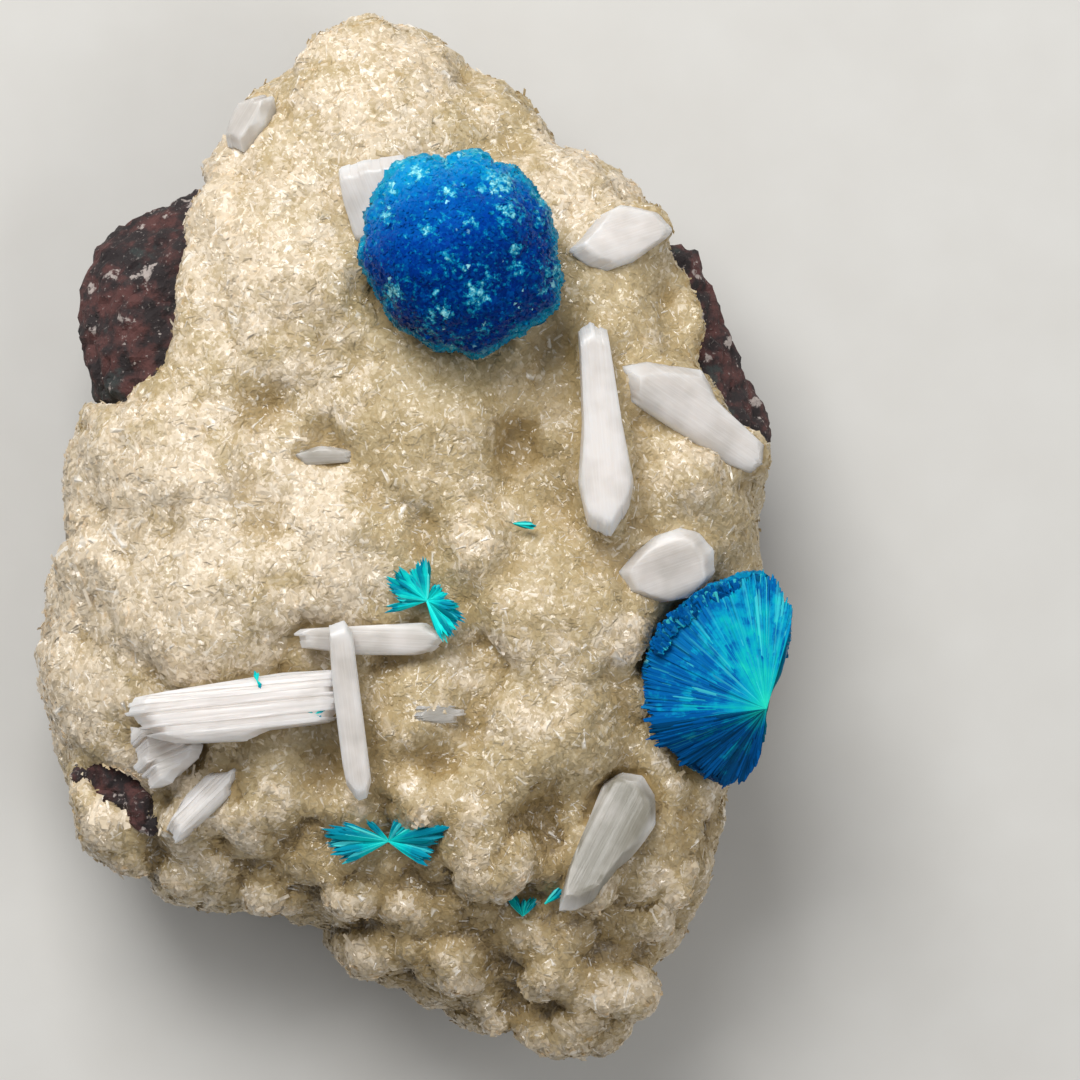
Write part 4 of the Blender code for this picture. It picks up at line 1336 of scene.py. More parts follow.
# ---------------------------------------------------------------- the basalt
@dataclass
class BasaltMatrix:
    """The broken basalt: rough, pitted, and flat where it lies on its back."""

    material: bpy.types.Material
    voxel: float = 0.45
    facet: float = 2.6
    grain: float = 1.4
    back: float = 0.6
    lumps: tuple[Lump, ...] = (
        Lump(-19.0, -15.9, 15.4, 2.8), Lump(-20.4, -14.9, 14.8, 1.9), Lump(-18.0, -17.0, 15.3, 1.9),
        Lump(-17.5, -17.3, 17.0, 1.5), Lump(-16.9, -18.3, 16.9, 1.0), Lump(-21.6, -15.2, 14.5, 0.9),
    )  # fmt: skip

    def build(self) -> None:
        """Builds the piece: facets with creases between them, then grain, and a flat back."""
        mesh = voxel_skin(lumped(merged_copy("basalt_matrix"), self.lumps), self.voxel)
        points = relaxed(mesh, corners(mesh), 2)
        place_corners(mesh, points)
        normals = corner_normals(mesh)
        moved = np.empty(len(points))
        for n, (x, y, z) in enumerate(points):
            p = Vector((x, y, z))
            steps = noise.voronoi(p / self.facet)[0]
            edge = min(0.3, steps[1] - steps[0])
            moved[n] = 0.9 * edge + 0.35 * noise.fractal(p / self.grain, 0.9, 2.0, 3) - 0.25
        lying = points[:, 2] < self.back
        moved[lying] = 0.0
        points = points + normals * moved[:, None]
        points[:, 2] = np.maximum(points[:, 2], 0.0)
        points[lying & (normals[:, 2] < -0.6), 2] = 0.0
        place_corners(mesh, points)
        hand_in(shown("red_basalt", mesh, self.material), Slot.BASALT, "basalt_matrix")


# ---------------------------------------------------------------- stilbite blades
# A lath's ridge: places across it, as shares of its width, and how far each stands up, in mm.
LATH_RIDGE = ((0.04, 0.0), (0.3, 0.006), (0.7, 0.006), (0.96, 0.0))
# The largest share of a lath that its ragged end may take, the margin beside the outermost laths
# in mm, and the angle in degrees past which an edge is sharp.
LONGEST_JAG = 0.2
CUT_MARGIN = 0.03
SHARP_EDGE = 50


@dataclass
class StilbiteBlade:
    """A sheaf of parallel stilbite laths grown as one tabular blade.

    The outline is in plan, in mm. The middle's height, the thickness, the tilt about X and Y and
    the heading, in degrees, say how it lies; without a heading it follows the outline. Each lath
    is one ridge of the skin. Raggedness says by how many mm the laths' ends differ, and shred how
    far the sheaf has split. Clear is how see-through it is.
    """

    name: str
    outline: list[tuple[float, float]]
    height: float
    thickness: float
    tilt: tuple[float, float]
    lath: float = 0.34
    heading: float | None = None
    clear: float = 0.3
    raggedness: float = 0.06
    shred: float = 0.0
    stations: int = 34
    swell: float = 0.12
    seed: int = 0

    def axes(self) -> tuple[np.ndarray, np.ndarray, np.ndarray]:
        """Finds the blade's own axes in plan.

        Returns:
            The middle, the lengthwise axis and the crosswise axis.
        """
        points = np.array(self.outline)
        middle = points.mean(axis=0)
        if self.heading is not None:
            turn = math.radians(self.heading)
            way, cross = (math.cos(turn), math.sin(turn)), (-math.sin(turn), math.cos(turn))
            return middle, np.array(way), np.array(cross)
        sides = zip(points, np.roll(points, -1, axis=0))
        dense = np.concatenate([np.linspace(start, end, 20) for start, end in sides])
        _, _, rows = np.linalg.svd(dense - dense.mean(axis=0))
        return middle, rows[0], np.array([-rows[0][1], rows[0][0]])

    def ends(self, across: float, ring: np.ndarray) -> tuple[float, float]:
        """Where a lengthwise line meets the outline.

        Args:
            across: The line's place across the blade.
            ring: The outline in (along, across).

        Returns:
            The two ends along the line.
        """
        hits = []
        for (u0, v0), (u1, v1) in zip(ring, np.roll(ring, -1, axis=0)):
            if (v0 - across) * (v1 - across) < 0:
                hits.append(u0 + (u1 - u0) * (across - v0) / (v1 - v0))
        return (min(hits), max(hits)) if hits else (0.0, 0.0)

    def skin(self) -> tuple[np.ndarray, list, np.ndarray]:
        """Builds the blade's closed skin, lath by lath.

        Returns:
            Corner places in mm, faces, and each corner's (along, across).
        """
        middle, along, aside = self.axes()
        ring = np.stack([(self.outline - middle) @ along, (self.outline - middle) @ aside], axis=1)
        low, high = ring[:, 1].min(), ring[:, 1].max()
        count = max(3, round((high - low) / self.lath))
        chance = np.random.default_rng(self.seed + 17)
        cuts = np.linspace(low + CUT_MARGIN, high - CUT_MARGIN, count + 1)
        cuts[1:-1] += chance.uniform(-0.3, 0.3, count - 1) * self.lath
        columns = []
        for n in range(count):
            a, b = cuts[n], cuts[n + 1]
            lift = chance.normal(0, 0.005 + 0.05 * self.shred)
            jag = chance.normal(0, self.raggedness, 2)
            for share, rise in LATH_RIDGE:
                columns.append((a + (b - a) * share, lift + rise, jag))
        steps = np.linspace(0, 1, self.stations)
        steps = 0.5 - 0.5 * np.cos(np.pi * steps)
        half = self.thickness / 2
        top, bottom = [], []
        for across, lift, jag in columns:
            start, end = self.ends(across, ring)
            reach = end - start
            start += min(abs(jag[0]), LONGEST_JAG * reach)
            end -= min(abs(jag[1]), LONGEST_JAG * reach)
            side = math.sqrt(1 - min(0.98, abs(2 * (across - low) / (high - low) - 1) ** 5))
            rows = []
            for s in steps:
                u = start + (end - start) * s
                chisel = min(1.0, 0.12 + min(u - start, end - u) / (0.55 * half + 0.2))
                wave = self.swell * noise.noise(Vector((u / 5.0, across / 1.6, self.seed)))
                grooves = noise.noise(Vector((u / 2.4, across / 0.13, self.seed + 5)))
                grooves *= 0.004 + 0.05 * self.shred
                h = half * (0.12 + 0.88 * side) * chisel
                rows.append((u, across, h, (lift + wave * 0.4 + grooves) * chisel))
            top.append([(u, v, h + d) for u, v, h, d in rows])
            bottom.append([(u, v, -h + d) for u, v, h, d in rows])
        top, bottom = np.array(top), np.array(bottom)
        wide, deep = top.shape[:2]
        points = np.concatenate([top.reshape(-1, 3), bottom.reshape(-1, 3)])
        number = np.arange(wide * deep).reshape(wide, deep)
        faces = []
        for i in range(wide - 1):
            for j in range(deep - 1):
                quad = (number[i, j], number[i + 1, j], number[i + 1, j + 1], number[i, j + 1])
                faces.append(quad)
                faces.append(tuple(q + wide * deep for q in reversed(quad)))
        rim = list(number[:, 0]) + list(number[-1, 1:]) + list(number[-2::-1, -1]) + list(number[0, -2:0:-1])
        for a, b in zip(rim, rim[1:] + rim[:1]):
            faces.append((a, b, b + wide * deep, a + wide * deep))
        return points, faces, points[:, :2].copy()

    def build(self, material: bpy.types.Material) -> bpy.types.Mesh:
        """Builds the blade's mesh in its place.

        Args:
            material: Its finish.

        Returns:
            The mesh, with a UV map in metres along and across the blade.
        """
        points, faces, flat = self.skin()
        middle, along, aside = self.axes()
        plan = points[:, :1] * along + points[:, 1:2] * aside
        local = np.column_stack([plan, points[:, 2]])
        turn = np.array(Euler([math.radians(t) for t in self.tilt] + [0.0]).to_matrix())
        placed = local @ turn.T + np.array([*middle, self.height]) + SHIFT
        mesh = mesh_from(self.name, placed, faces)
        mesh.shade_smooth()
        mesh.set_sharp_from_angle(angle=math.radians(SHARP_EDGE))
        layer = mesh.uv_layers.new(name="along_blade")
        numbers = np.empty(len(mesh.loops), np.int32)
        mesh.loops.foreach_get("vertex_index", numbers)
        layer.data.foreach_set("uv", (flat[numbers] * MM).astype(np.float32).ravel())
        # Painted highlight: brighter towards the blade's edges and ends.
        low, high = flat.min(axis=0), flat.max(axis=0)
        margin = np.minimum(flat - low, high - flat) / (0.12 * (high - low))
        give(mesh, "edge", 0.8 * np.clip(1 - margin.min(axis=1), 0, 1))
        give(mesh, "clear", np.full(len(flat), self.clear))
        mesh.materials.append(material)
        return mesh


def joined(name: str, meshes: list[bpy.types.Mesh]) -> bpy.types.Object:
    """Makes one piece of several meshes that carry the same values.

    Args:
        name: The piece's name.
        meshes: The meshes.

    Returns:
        The piece.
    """
    bm = bmesh.new()
    for mesh in meshes:
        bm.from_mesh(mesh)
    whole = bpy.data.meshes.new(name)
    bm.to_mesh(whole)
    bm.free()
    return shown(name, whole, meshes[0].materials[0])


BLADES = (
    StilbiteBlade(
        "stilbite_upright",
        [(10.5, 13.2), (11.3, 13.8), (12.4, 13.3), (13.2, 8.1), (14.1, 3.4), (13.8, 1.9), (12.6, -0.1),
         (11.1, 0.7), (10.5, 3.5), (10.8, 7.9)],
        height=20.77, thickness=2.6, tilt=(-4.0, 3.0), clear=0.08, seed=0,
    ),
    StilbiteBlade(
        "stilbite_right_blade",
        [(13.0, 11.0), (14.7, 11.3), (18.3, 10.8), (19.6, 8.6), (21.4, 7.1), (22.8, 5.9), (22.8, 4.6),
         (22.0, 4.0), (20.4, 4.5), (17.2, 6.5), (14.6, 8.3), (13.2, 8.9)],
        height=17.94, thickness=2.8, tilt=(10.0, 16.0), lath=0.5, clear=0.26, raggedness=0.04, seed=1,
    ),
    StilbiteBlade(
        "stilbite_upper_right",
        [(9.7, 18.3), (10.7, 19.2), (11.8, 20.6), (13.4, 21.4), (15.8, 20.9), (16.8, 19.7), (16.2, 19.1),
         (14.0, 17.6), (12.3, 17.0), (11.0, 17.3)],
        height=18.45, thickness=2.4, tilt=(-10.0, 14.0), clear=0.12, seed=2,
    ),
    StilbiteBlade(
        "stilbite_by_half_ball",
        [(13.1, -2.2), (14.2, -0.9), (15.4, 0.1), (16.9, 0.7), (18.2, 0.4), (19.2, -0.7), (19.3, -2.3),
         (18.0, -3.8), (15.8, -4.2), (13.7, -3.5)],
        height=18.99, thickness=2.2, tilt=(8.0, 2.0), lath=0.7, clear=0.28, raggedness=0.02, seed=3,
    ),
    StilbiteBlade(
        "stilbite_club",
        [(12.1, -15.7), (13.3, -14.9), (14.7, -15.1), (15.5, -16.5), (15.5, -18.4), (14.1, -20.4),
         (12.5, -21.7), (11.7, -23.3), (10.3, -24.0), (9.2, -24.0), (9.9, -21.3), (11.0, -18.6)],
        height=18.7, thickness=2.6, tilt=(-16.0, 0.0), lath=0.7, clear=0.95, raggedness=0.02, seed=4,
    ),
    StilbiteBlade(
        "stilbite_lower_left",
        [(-11.0, -14.5), (-12.9, -14.9), (-14.8, -16.8), (-15.9, -18.8), (-15.2, -19.7), (-13.2, -18.0),
         (-11.5, -16.3)],
        height=18.23, thickness=1.8, tilt=(-12.0, -8.0), lath=0.26,
        clear=0.16, raggedness=0.2, shred=0.6, seed=5,
    ),
    StilbiteBlade(
        "stilbite_behind_ball",
        [(-4.9, 23.7), (-3.2, 24.2), (-0.6, 24.5), (0.6, 22.6), (-1.4, 18.4), (-3.6, 18.6), (-4.5, 21.6)],
        height=19.23, thickness=2.2, tilt=(4.0, -10.0), lath=0.5, heading=112.0, clear=0.16, seed=6,
    ),
    StilbiteBlade(
        "stilbite_upper_edge",
        [(-11.9, 25.0), (-11.6, 27.2), (-11.2, 28.4), (-10.1, 28.6), (-9.0, 28.6), (-9.4, 26.6),
         (-10.6, 24.7)],
        height=14.94, thickness=1.8, tilt=(-20.0, -34.0), clear=0.35, raggedness=0.15, seed=7,
    ),
    StilbiteBlade(
        "stilbite_mid_left",
        [(-7.9, 5.4), (-5.9, 5.9), (-3.9, 5.6), (-3.6, 4.9), (-7.2, 4.6)],
        height=19.1, thickness=1.2, tilt=(6.0, 0.0), clear=0.7, seed=8,
    ),
)  # fmt: skip
BURIED = StilbiteBlade(
    "stilbite_buried",
    [(-0.5, -11.7), (0.2, -10.7), (2.6, -10.6), (3.5, -11.0), (3.4, -11.8), (1.0, -11.9)],
    height=20.47, thickness=0.8, tilt=(0.0, 20.0), lath=0.2, clear=0.6, raggedness=0.4, seed=20,
)  # fmt: skip
CROSSED = (
    StilbiteBlade(
        "long_left",
        [(-18.4, -11.2), (-18.1, -10.2), (-14.5, -9.6), (-8.4, -8.6), (-4.2, -8.4), (-4.0, -10.6),
         (-4.9, -11.8), (-7.6, -11.8), (-10.5, -13.0), (-15.3, -13.2), (-17.2, -12.7)],
        height=21.12, thickness=2.8, tilt=(-6.0, 3.0), lath=0.26,
        clear=0.0, raggedness=0.35, shred=1.0, seed=30,
    ),
    StilbiteBlade(
        "upright",
        [(-5.4, -5.6), (-4.4, -5.2), (-3.8, -6.1), (-3.3, -10.4), (-2.6, -15.4), (-2.9, -16.6),
         (-3.5, -16.8), (-4.3, -15.7), (-4.9, -11.5), (-5.2, -8.5)],
        height=22.03, thickness=1.5, tilt=(3.0, 2.0), lath=0.45, clear=0.28, seed=31,
    ),
    StilbiteBlade(
        "cross_bar",
        [(-7.7, -6.1), (-7.2, -5.8), (0.8, -5.4), (2.3, -6.4), (1.4, -7.2), (0.7, -7.5), (-3.5, -7.5),
         (-7.4, -7.0)],
        height=20.88, thickness=1.5, tilt=(-4.0, -2.0), lath=0.4, clear=0.34, raggedness=0.15, seed=32,
    ),
    StilbiteBlade(
        "left_base",
        [(-18.2, -12.0), (-13.2, -12.2), (-13.6, -14.0), (-15.4, -15.8), (-16.9, -16.2), (-18.0, -14.8)],
        height=18.66, thickness=2.2, tilt=(-20.0, 0.0), lath=0.26,
        clear=0.1, raggedness=0.35, shred=1.0, seed=33,
    ),
)  # fmt: skip


# ---------------------------------------------------------------- cavansite
@dataclass
class CavansiteBall:
    """The whole ball: a lobed core covered with the ends of its radiating crystals.

    Each entry of the rim is an angle in degrees and the share of the radius that the ball reaches there. Each
    sheaf is a place where the needles part and pale ends show: its place from the middle and its radius, in
    mm, and its strength; the two of strength 1.2 are painted glints. Lobe and lobelet are the distances
    between the core's large and small lobes, in mm.
    """

    centre: tuple[float, float, float] = (3.0, 18.1, 22.4)
    radius: float = 5.95
    lobe: float = 2.9
    lobelet: float = 1.25
    rim: tuple[tuple[float, float], ...] = (
        (-3, 0.96), (16, 0.99), (29, 1.02), (37, 0.97), (56, 1.05), (63, 1.03), (69, 0.97), (76, 1.06),
        (84, 1.07), (94, 1.01), (99, 0.93), (110, 1.06), (124, 1.13), (136, 1.09), (154, 1.05), (165, 0.99),
        (172, 0.98), (180, 1.05), (184, 1.02), (200, 0.92), (210, 0.93), (230, 0.97), (238, 0.92),
        (246, 0.96), (257, 1.02), (268, 0.96), (277, 1.08), (285, 1.07), (304, 1.02), (316, 1.07),
        (327, 1.12), (333, 1.15), (341, 1.09), (351, 1.03),
    )  # fmt: skip
    sheaves: tuple[tuple[float, float, float, float], ...] = (
        (-3.76, 5.82, 0.55, 0.8), (-2.67, 4.98, 0.8, 0.8), (-4.27, 3.96, 0.5, 0.7), (-4.52, 2.28, 0.6, 0.75),
        (-1.99, 1.35, 0.55, 0.65), (-0.64, 3.71, 0.6, 0.85), (-0.64, 5.65, 0.6, 0.5), (0.88, 5.99, 0.8, 0.55),
        (1.55, 4.98, 0.45, 0.5), (2.48, 4.3, 0.9, 0.85), (1.38, 3.88, 0.4, 0.6), (3.07, 2.61, 0.75, 0.7),
        (4.59, 3.63, 0.5, 0.6), (5.26, 2.95, 0.6, 0.6), (4.93, 1.77, 0.5, 0.5), (0.62, 1.86, 0.32, 0.8),
        (-0.73, -0.34, 0.45, 0.55), (0.03, -1.18, 0.5, 0.5), (3.41, 0.17, 0.3, 1.2), (3.49, -1.01, 0.5, 0.55),
        (1.89, -1.52, 0.4, 0.75), (1.13, -2.78, 0.75, 0.8), (-1.23, -2.61, 0.45, 0.5),
        (-0.81, -3.8, 0.38, 1.2), (-1.65, -3.96, 0.5, 0.6), (-4.1, -2.61, 0.6, 0.8), (-1.99, -4.81, 0.7, 0.5),
        (-0.47, -5.82, 0.5, 0.5), (1.55, -4.89, 0.3, 0.6), (5.94, -1.27, 0.6, 0.6), (5.2, -2.3, 0.4, 0.5),
    )  # fmt: skip

    def core(self) -> bpy.types.Mesh:
        """Builds the lobed core with the values that its crystals read.

        Returns:
            The core's mesh.
        """
        bm = bmesh.new()
        bmesh.ops.create_icosphere(bm, subdivisions=6, radius=1.0)
        mesh = bpy.data.meshes.new("ball_core")
        bm.to_mesh(mesh)
        bm.free()
        way = corners(mesh) * MM
        angle = np.degrees(np.arctan2(way[:, 1], way[:, 0]))
        degrees, reach = np.array(self.rim).T
        edge = np.interp(angle, degrees, reach, period=360.0)
        flat = np.clip(1 - np.abs(way[:, 2]) / 0.6, 0, 1)
        size = np.empty(len(way))
        for n, direction in enumerate(way):
            p = Vector(direction) * self.radius
            lobes = 0.4 * knob(self.lobe, p, 3.1) + 0.28 * knob(self.lobelet, p, 1.7) - 0.45
            lobes += (0.1 + 0.6 * flat[n]) * noise.noise(p / 0.5)
            size[n] = self.radius * (1 + (edge[n] - 1) * flat[n]) + lobes * (1 - 0.5 * flat[n])
        place_corners(mesh, way * size[:, None] + np.array(self.centre) + SHIFT)
        give(mesh, "cover", np.ones(len(way)))
        give(mesh, "size", 1.0 + 0.7 * flat)
        give(mesh, "tone", np.zeros(len(way)))
        give(mesh, "tip", np.zeros(len(way)))
        plan = way * size[:, None]
        sheaf = np.zeros(len(way))
        for x, y, radius, strength in self.sheaves:
            away = ((plan[:, 0] - x) ** 2 + (plan[:, 1] - y) ** 2) / radius**2
            sheaf = np.maximum(sheaf, strength * np.exp(-away) * (plan[:, 2] > 0))
        give(mesh, "sheaf", sheaf)
        give_soft_normals(mesh, 3)
        return mesh

    def build(self, material: bpy.types.Material) -> None:
        """Builds the piece.

        Args:
            material: Its finish.
        """
        core = self.core()
        shapes = [
            small_crystal("ball_point", Tip.POINT, (0.34, 0.28), 0.36, 0.5),
            small_crystal("ball_chisel", Tip.CHISEL, (0.36, 0.26), 0.32, 0.5),
            small_crystal("ball_slant", Tip.SLANT, (0.3, 0.26), 0.3, 0.5),
        ]
        growth = Growth(
            "cavansite_growth", shapes, material, spacing=0.2, smallest=0.75, largest=1.15, lean=24.0, seed=5
        )
        tips = growth.grow("cavansite_ball_tips", core.copy(), "cover", 0)
        growth.clear()
        hand_in(tips, Slot.BLUE, "cavansite_ball")
        hand_in(shown("cavansite_ball_core", core, material), Slot.BLUE, "cavansite_ball")


@dataclass(frozen=True)
class Fibre:
    """One straight crystal of a fan: its root, its directions in degrees and its sizes in mm."""

    root: tuple[float, float, float]
    turn: float
    rise: float
    roll: float
    length: float
    width: float
    depth: float
    tone: float
    hue: float = 0.0


@dataclass
class FibreSetting:
    """Sets long crystals where a list of fibres says, through one Geometry Nodes tree.

    The rings give a crystal's outline: place along it, width and depth, all as shares. The section
    gives its corners across, as shares of its width and depth. Real needles are under 0.1 mm
    thick; the fibres are drawn 0.1 to 0.4 mm wide, coarse enough to show.
    """

    name: str
    rings: tuple[tuple[float, float, float], ...]
    section: tuple[tuple[float, float], ...]
    tree: bpy.types.NodeTree = field(init=False)

    def __post_init__(self) -> None:
        """Builds the tree."""
        self.tree = self.build_tree()

    def build_tree(self) -> bpy.types.NodeTree:
        """Builds the tree that puts one crystal on each point, turned and stretched by its values.

        Returns:
            The tree.
        """
        tree, given = group_tree(self.name, {"Shape": "NodeSocketObject", "Material": "NodeSocketMaterial"})
        feed = given.outputs
        turn, stretch = (
            add_node(
                tree, "GeometryNodeInputNamedAttribute", {"data_type": "FLOAT_VECTOR", "Name": name}
            ).outputs[0]
            for name in ("turn", "stretch")
        )
        shape = add_node(tree, "GeometryNodeObjectInfo", None, {"Object": feed["Shape"]})
        points = add_node(tree, "GeometryNodeMeshToPoints", None, {"Mesh": feed["Geometry"]})
        turned = add_node(tree, "FunctionNodeEulerToRotation", None, {0: turn})
        crystals = add_node(
            tree,
            "GeometryNodeInstanceOnPoints",
            None,
            {
                "Points": points.outputs[0],
                "Instance": shape.outputs["Geometry"],
                "Rotation": turned.outputs[0],
                "Scale": stretch,
            },
        )
        real = add_node(tree, "GeometryNodeRealizeInstances", None, {0: crystals.outputs[0]})
        dressed = add_node(
            tree,
            "GeometryNodeSetMaterial",
            None,
            {"Geometry": real.outputs[0], "Material": feed["Material"]},
        )
        add_node(tree, "NodeGroupOutput", None, {0: dressed.outputs[0]})
        return tree

    def shape(self) -> bpy.types.Object:
        """Makes the crystal that is repeated: 1 mm in every size, from its root along +X.

        Returns:
            A hidden object.
        """
        points = [(x, y * wide, z * deep) for x, wide, deep in self.rings for y, z in self.section]
        sides = len(self.section)
        faces = [tuple(range(sides)), tuple(range(len(points) - sides, len(points)))]
        for r in range(len(self.rings) - 1):
            for n in range(sides):
                a, b = r * sides + n, r * sides + (n + 1) % sides
                faces.append((a, b, b + sides, a + sides))
        mesh = mesh_from("fibre", points, faces)
        give(mesh, "reach", [x for x, _, _ in points])
        made = shown("fibre", mesh)
        made.hide_render = True
        return made

    def build(self, name: str, fibres: list[Fibre], material: bpy.types.Material) -> bpy.types.Object:
        """Sets the fibres.

        Args:
            name: The new piece's name.
            fibres: The fibres.
            material: Their finish.

        Returns:
            The piece.
        """
        mesh = bpy.data.meshes.new(name + "_roots")
        roots = np.array([f.root for f in fibres]) + SHIFT
        mesh.from_pydata((roots * MM).tolist(), [], [])
        give(mesh, "tone", np.array([f.tone for f in fibres]))
        give(mesh, "hue", np.array([f.hue for f in fibres]))
        turns = [
            Matrix.Rotation(math.radians(f.turn), 3, "Z")
            @ Matrix.Rotation(math.radians(-f.rise), 3, "Y")
            @ Matrix.Rotation(math.radians(f.roll), 3, "X")
            for f in fibres
        ]
        rows = {
            "turn": np.array([t.to_euler()[:] for t in turns]),
            "stretch": np.array([(f.length, f.width, f.depth) for f in fibres]),
        }
        rows["soft"] = np.array([t.col[2][:] for t in turns])
        for key, values in rows.items():
            give(mesh, key, values)
        shape = self.shape()
        grown = run_tree(shown(name + "_roots", mesh), self.tree, {"Shape": shape, "Material": material})
        bpy.data.objects.remove(shape)
        grown.name = name
        return shown(name, grown)


@dataclass
class CavansiteHalfBall:
    """The ball that broke through its nucleus: fibres fan out over a round belly.

    The tables run over the angle in degrees. For the fan it goes with the fibres' reach in mm and how steeply
    they fall, for the hues with how blue they are, and for the painted sector light with how light the fibres
    are painted: the lower sectors, which face down, away from the lamp, are painted dark.
    The belly lies inside the solid's skin by the inset, and nothing grows on it nearer to the
    nucleus than the bare core, in mm.
    """

    nucleus: tuple[float, float, float] = (22.5, -10.9, 22.0)
    radius: float = 8.0
    voxel: float = 0.28
    inset: float = 0.3
    bare_core: float = 4.5
    fan: tuple[tuple[float, float, float], ...] = (
        (-96, 2.6, 0.30), (70, 5.4, 0.10), (79, 7.3, 0.12), (88, 8.7, 0.14), (98, 8.6, 0.18),
        (112, 8.4, 0.20), (126, 8.2, 0.22), (138, 8.6, 0.26), (146, 8.4, 0.28), (155, 8.6, 0.30),
        (168, 8.4, 0.34), (182, 8.0, 0.34), (190, 7.9, 0.28), (198, 8.1, 0.40), (206, 7.4, 0.58),
        (214, 7.9, 0.66), (221, 7.0, 0.76), (230, 7.6, 0.80), (237, 6.8, 0.84), (243, 7.6, 0.84),
        (248, 6.6, 0.82), (254, 6.4, 0.78), (260, 4.4, 0.60),
    )  # fmt: skip
    hues: tuple[tuple[float, float], ...] = (
        (-98, 0.5), (70, 0.1), (80, -0.12), (100, -0.12), (118, -0.08), (128, 0.06), (140, 0.24), (158, 0.32),
        (170, 0.2), (180, 0.02), (187, 0.2), (192, 0.5), (205, 0.2), (222, 0.46), (240, 0.24), (262, 0.5),
    )  # fmt: skip
    painted_sector_light: tuple[tuple[float, float], ...] = (
        (-98, 0.3), (70, 0.6), (90, 0.62), (120, 0.55), (150, 0.45), (175, 0.5), (184, 0.5), (189, 0.1),
        (194, 0.38), (204, 0.42), (216, 0.16), (228, 0.3), (240, 0.14), (250, 0.34), (262, 0.3),
    )  # fmt: skip
    first: float = 74.0
    last: float = 262.0
    count: int = 1500
    crust_span: tuple[float, float] = (101.0, 152.0)
    crust_count: int = 380

    def fibres(self) -> list[Fibre]:
        """Lays out the fan's fibres and the crust that stands past them.

        Returns:
            The fibres.
        """
        chance = np.random.default_rng(4)
        degrees, reaches, falls = np.array(sorted(self.fan)).T
        angles, hues = np.array(sorted(self.hues)).T
        made = []
        for n in range(self.count):
            turn = self.first + (self.last - self.first) * (n + chance.uniform(-0.5, 0.5)) / self.count
            reach = float(np.interp(turn, degrees, reaches, period=360.0))
            fall = float(np.interp(turn, degrees, falls, period=360.0))
            part = 1.0 if n % 4 == 0 else chance.uniform(0.4, 1.0)
            ragged = 0.08 * noise.noise(Vector((turn / 2.2, 0.0, 0.0)))
            strand = noise.noise(Vector((turn / 1.7, part * 2.0, 5.0)))
            # The fibre's tone is the painted sector light, with strands and a random spread.
            made.append(
                Fibre(
                    root=self.nucleus,
                    turn=turn,
                    rise=-math.degrees(math.atan(fall)) + chance.normal(0, 0.45) + 1.2 * (1 - part),
                    roll=chance.normal(0, 9),
                    length=reach * part * (chance.uniform(0.95, 1.01) + ragged),
                    width=chance.uniform(0.16, 0.34) * (0.4 + 0.6 * part),
                    depth=chance.uniform(0.16, 0.26),
                    tone=float(np.clip(self.painted_light_at(turn) + 0.34 * strand + chance.normal(0, 0.13), 0, 1)),
                    hue=float(np.interp(turn, angles, hues, period=360.0)) + 0.22 * strand,
                )
            )
        return made + self.crust(chance)

    def crust(self, chance: np.random.Generator) -> list[Fibre]:
        """Lays out the short blue crystals of the outer layer, which the break left standing.

        Args:
            chance: The source of the random draws.

        Returns:
            The crystals.
        """
        made = []
        for _ in range(self.crust_count):
            turn = chance.uniform(*self.crust_span)
            way = np.array([math.cos(math.radians(turn)), math.sin(math.radians(turn)), -0.22])
            start = 7.55 + 0.5 * noise.noise(Vector((turn / 5.0, 0.0, 9.0))) + chance.uniform(-0.2, 0.3)
            made.append(
                Fibre(
                    root=tuple(np.array(self.nucleus) + way * start + np.array([0, 0, 0.1])),
                    turn=turn + chance.normal(0, 9),
                    rise=chance.normal(2, 12),
                    roll=chance.normal(0, 25),
                    length=chance.uniform(0.4, 0.9),
                    width=chance.uniform(0.2, 0.4),
                    depth=chance.uniform(0.2, 0.4),
                    tone=float(np.clip(chance.normal(0.5, 0.2), 0, 1)),
                    hue=chance.uniform(1.3, 3.0),
                )
            )
        return made

    def painted_light_at(self, turn: float) -> float:
        """How light the fibres are painted at an angle: the lower sectors get painted shade."""
        angles, painted_sector_light = np.array(sorted(self.painted_sector_light)).T
        return float(np.interp(turn, angles, painted_sector_light, period=360.0))

    def belly(self) -> bpy.types.Mesh:
        """Builds the round underside from the CAD solid, with the values its crystals read.

        Returns:
            The belly's mesh.
        """
        mesh = voxel_skin(merged_copy("cavansite_half_ball"), self.voxel)
        points = relaxed(mesh, corners(mesh), 3)
        place_corners(mesh, points)
        normals = corner_normals(mesh)
        away = points - (np.array(self.nucleus) + SHIFT)
        distance = np.linalg.norm(away, axis=1)
        outward = np.einsum("ij,ij->i", normals, away / distance[:, None])
        place_corners(mesh, points - normals * self.inset)
        give(mesh, "cover", np.clip((outward - 0.2) / 0.2, 0, 1) * (distance > self.bare_core))
        give(mesh, "size", np.ones(len(points)))
        # Painted shade: the low tone paints the belly dark in the fan finish.
        give(mesh, "tone", np.full(len(points), 0.1))
        give(mesh, "reach", np.clip(distance / self.radius, 0, 1))
        give(mesh, "hue", np.full(len(points), 0.4))
        give(mesh, "tip", np.zeros(len(points)))
        sheaf = np.array([noise.noise(Vector(p) / 1.2) for p in points])
        give(mesh, "sheaf", np.clip((sheaf - 0.2) * 2.0, 0, 0.8))
        give_soft_normals(mesh, 3)
        return mesh

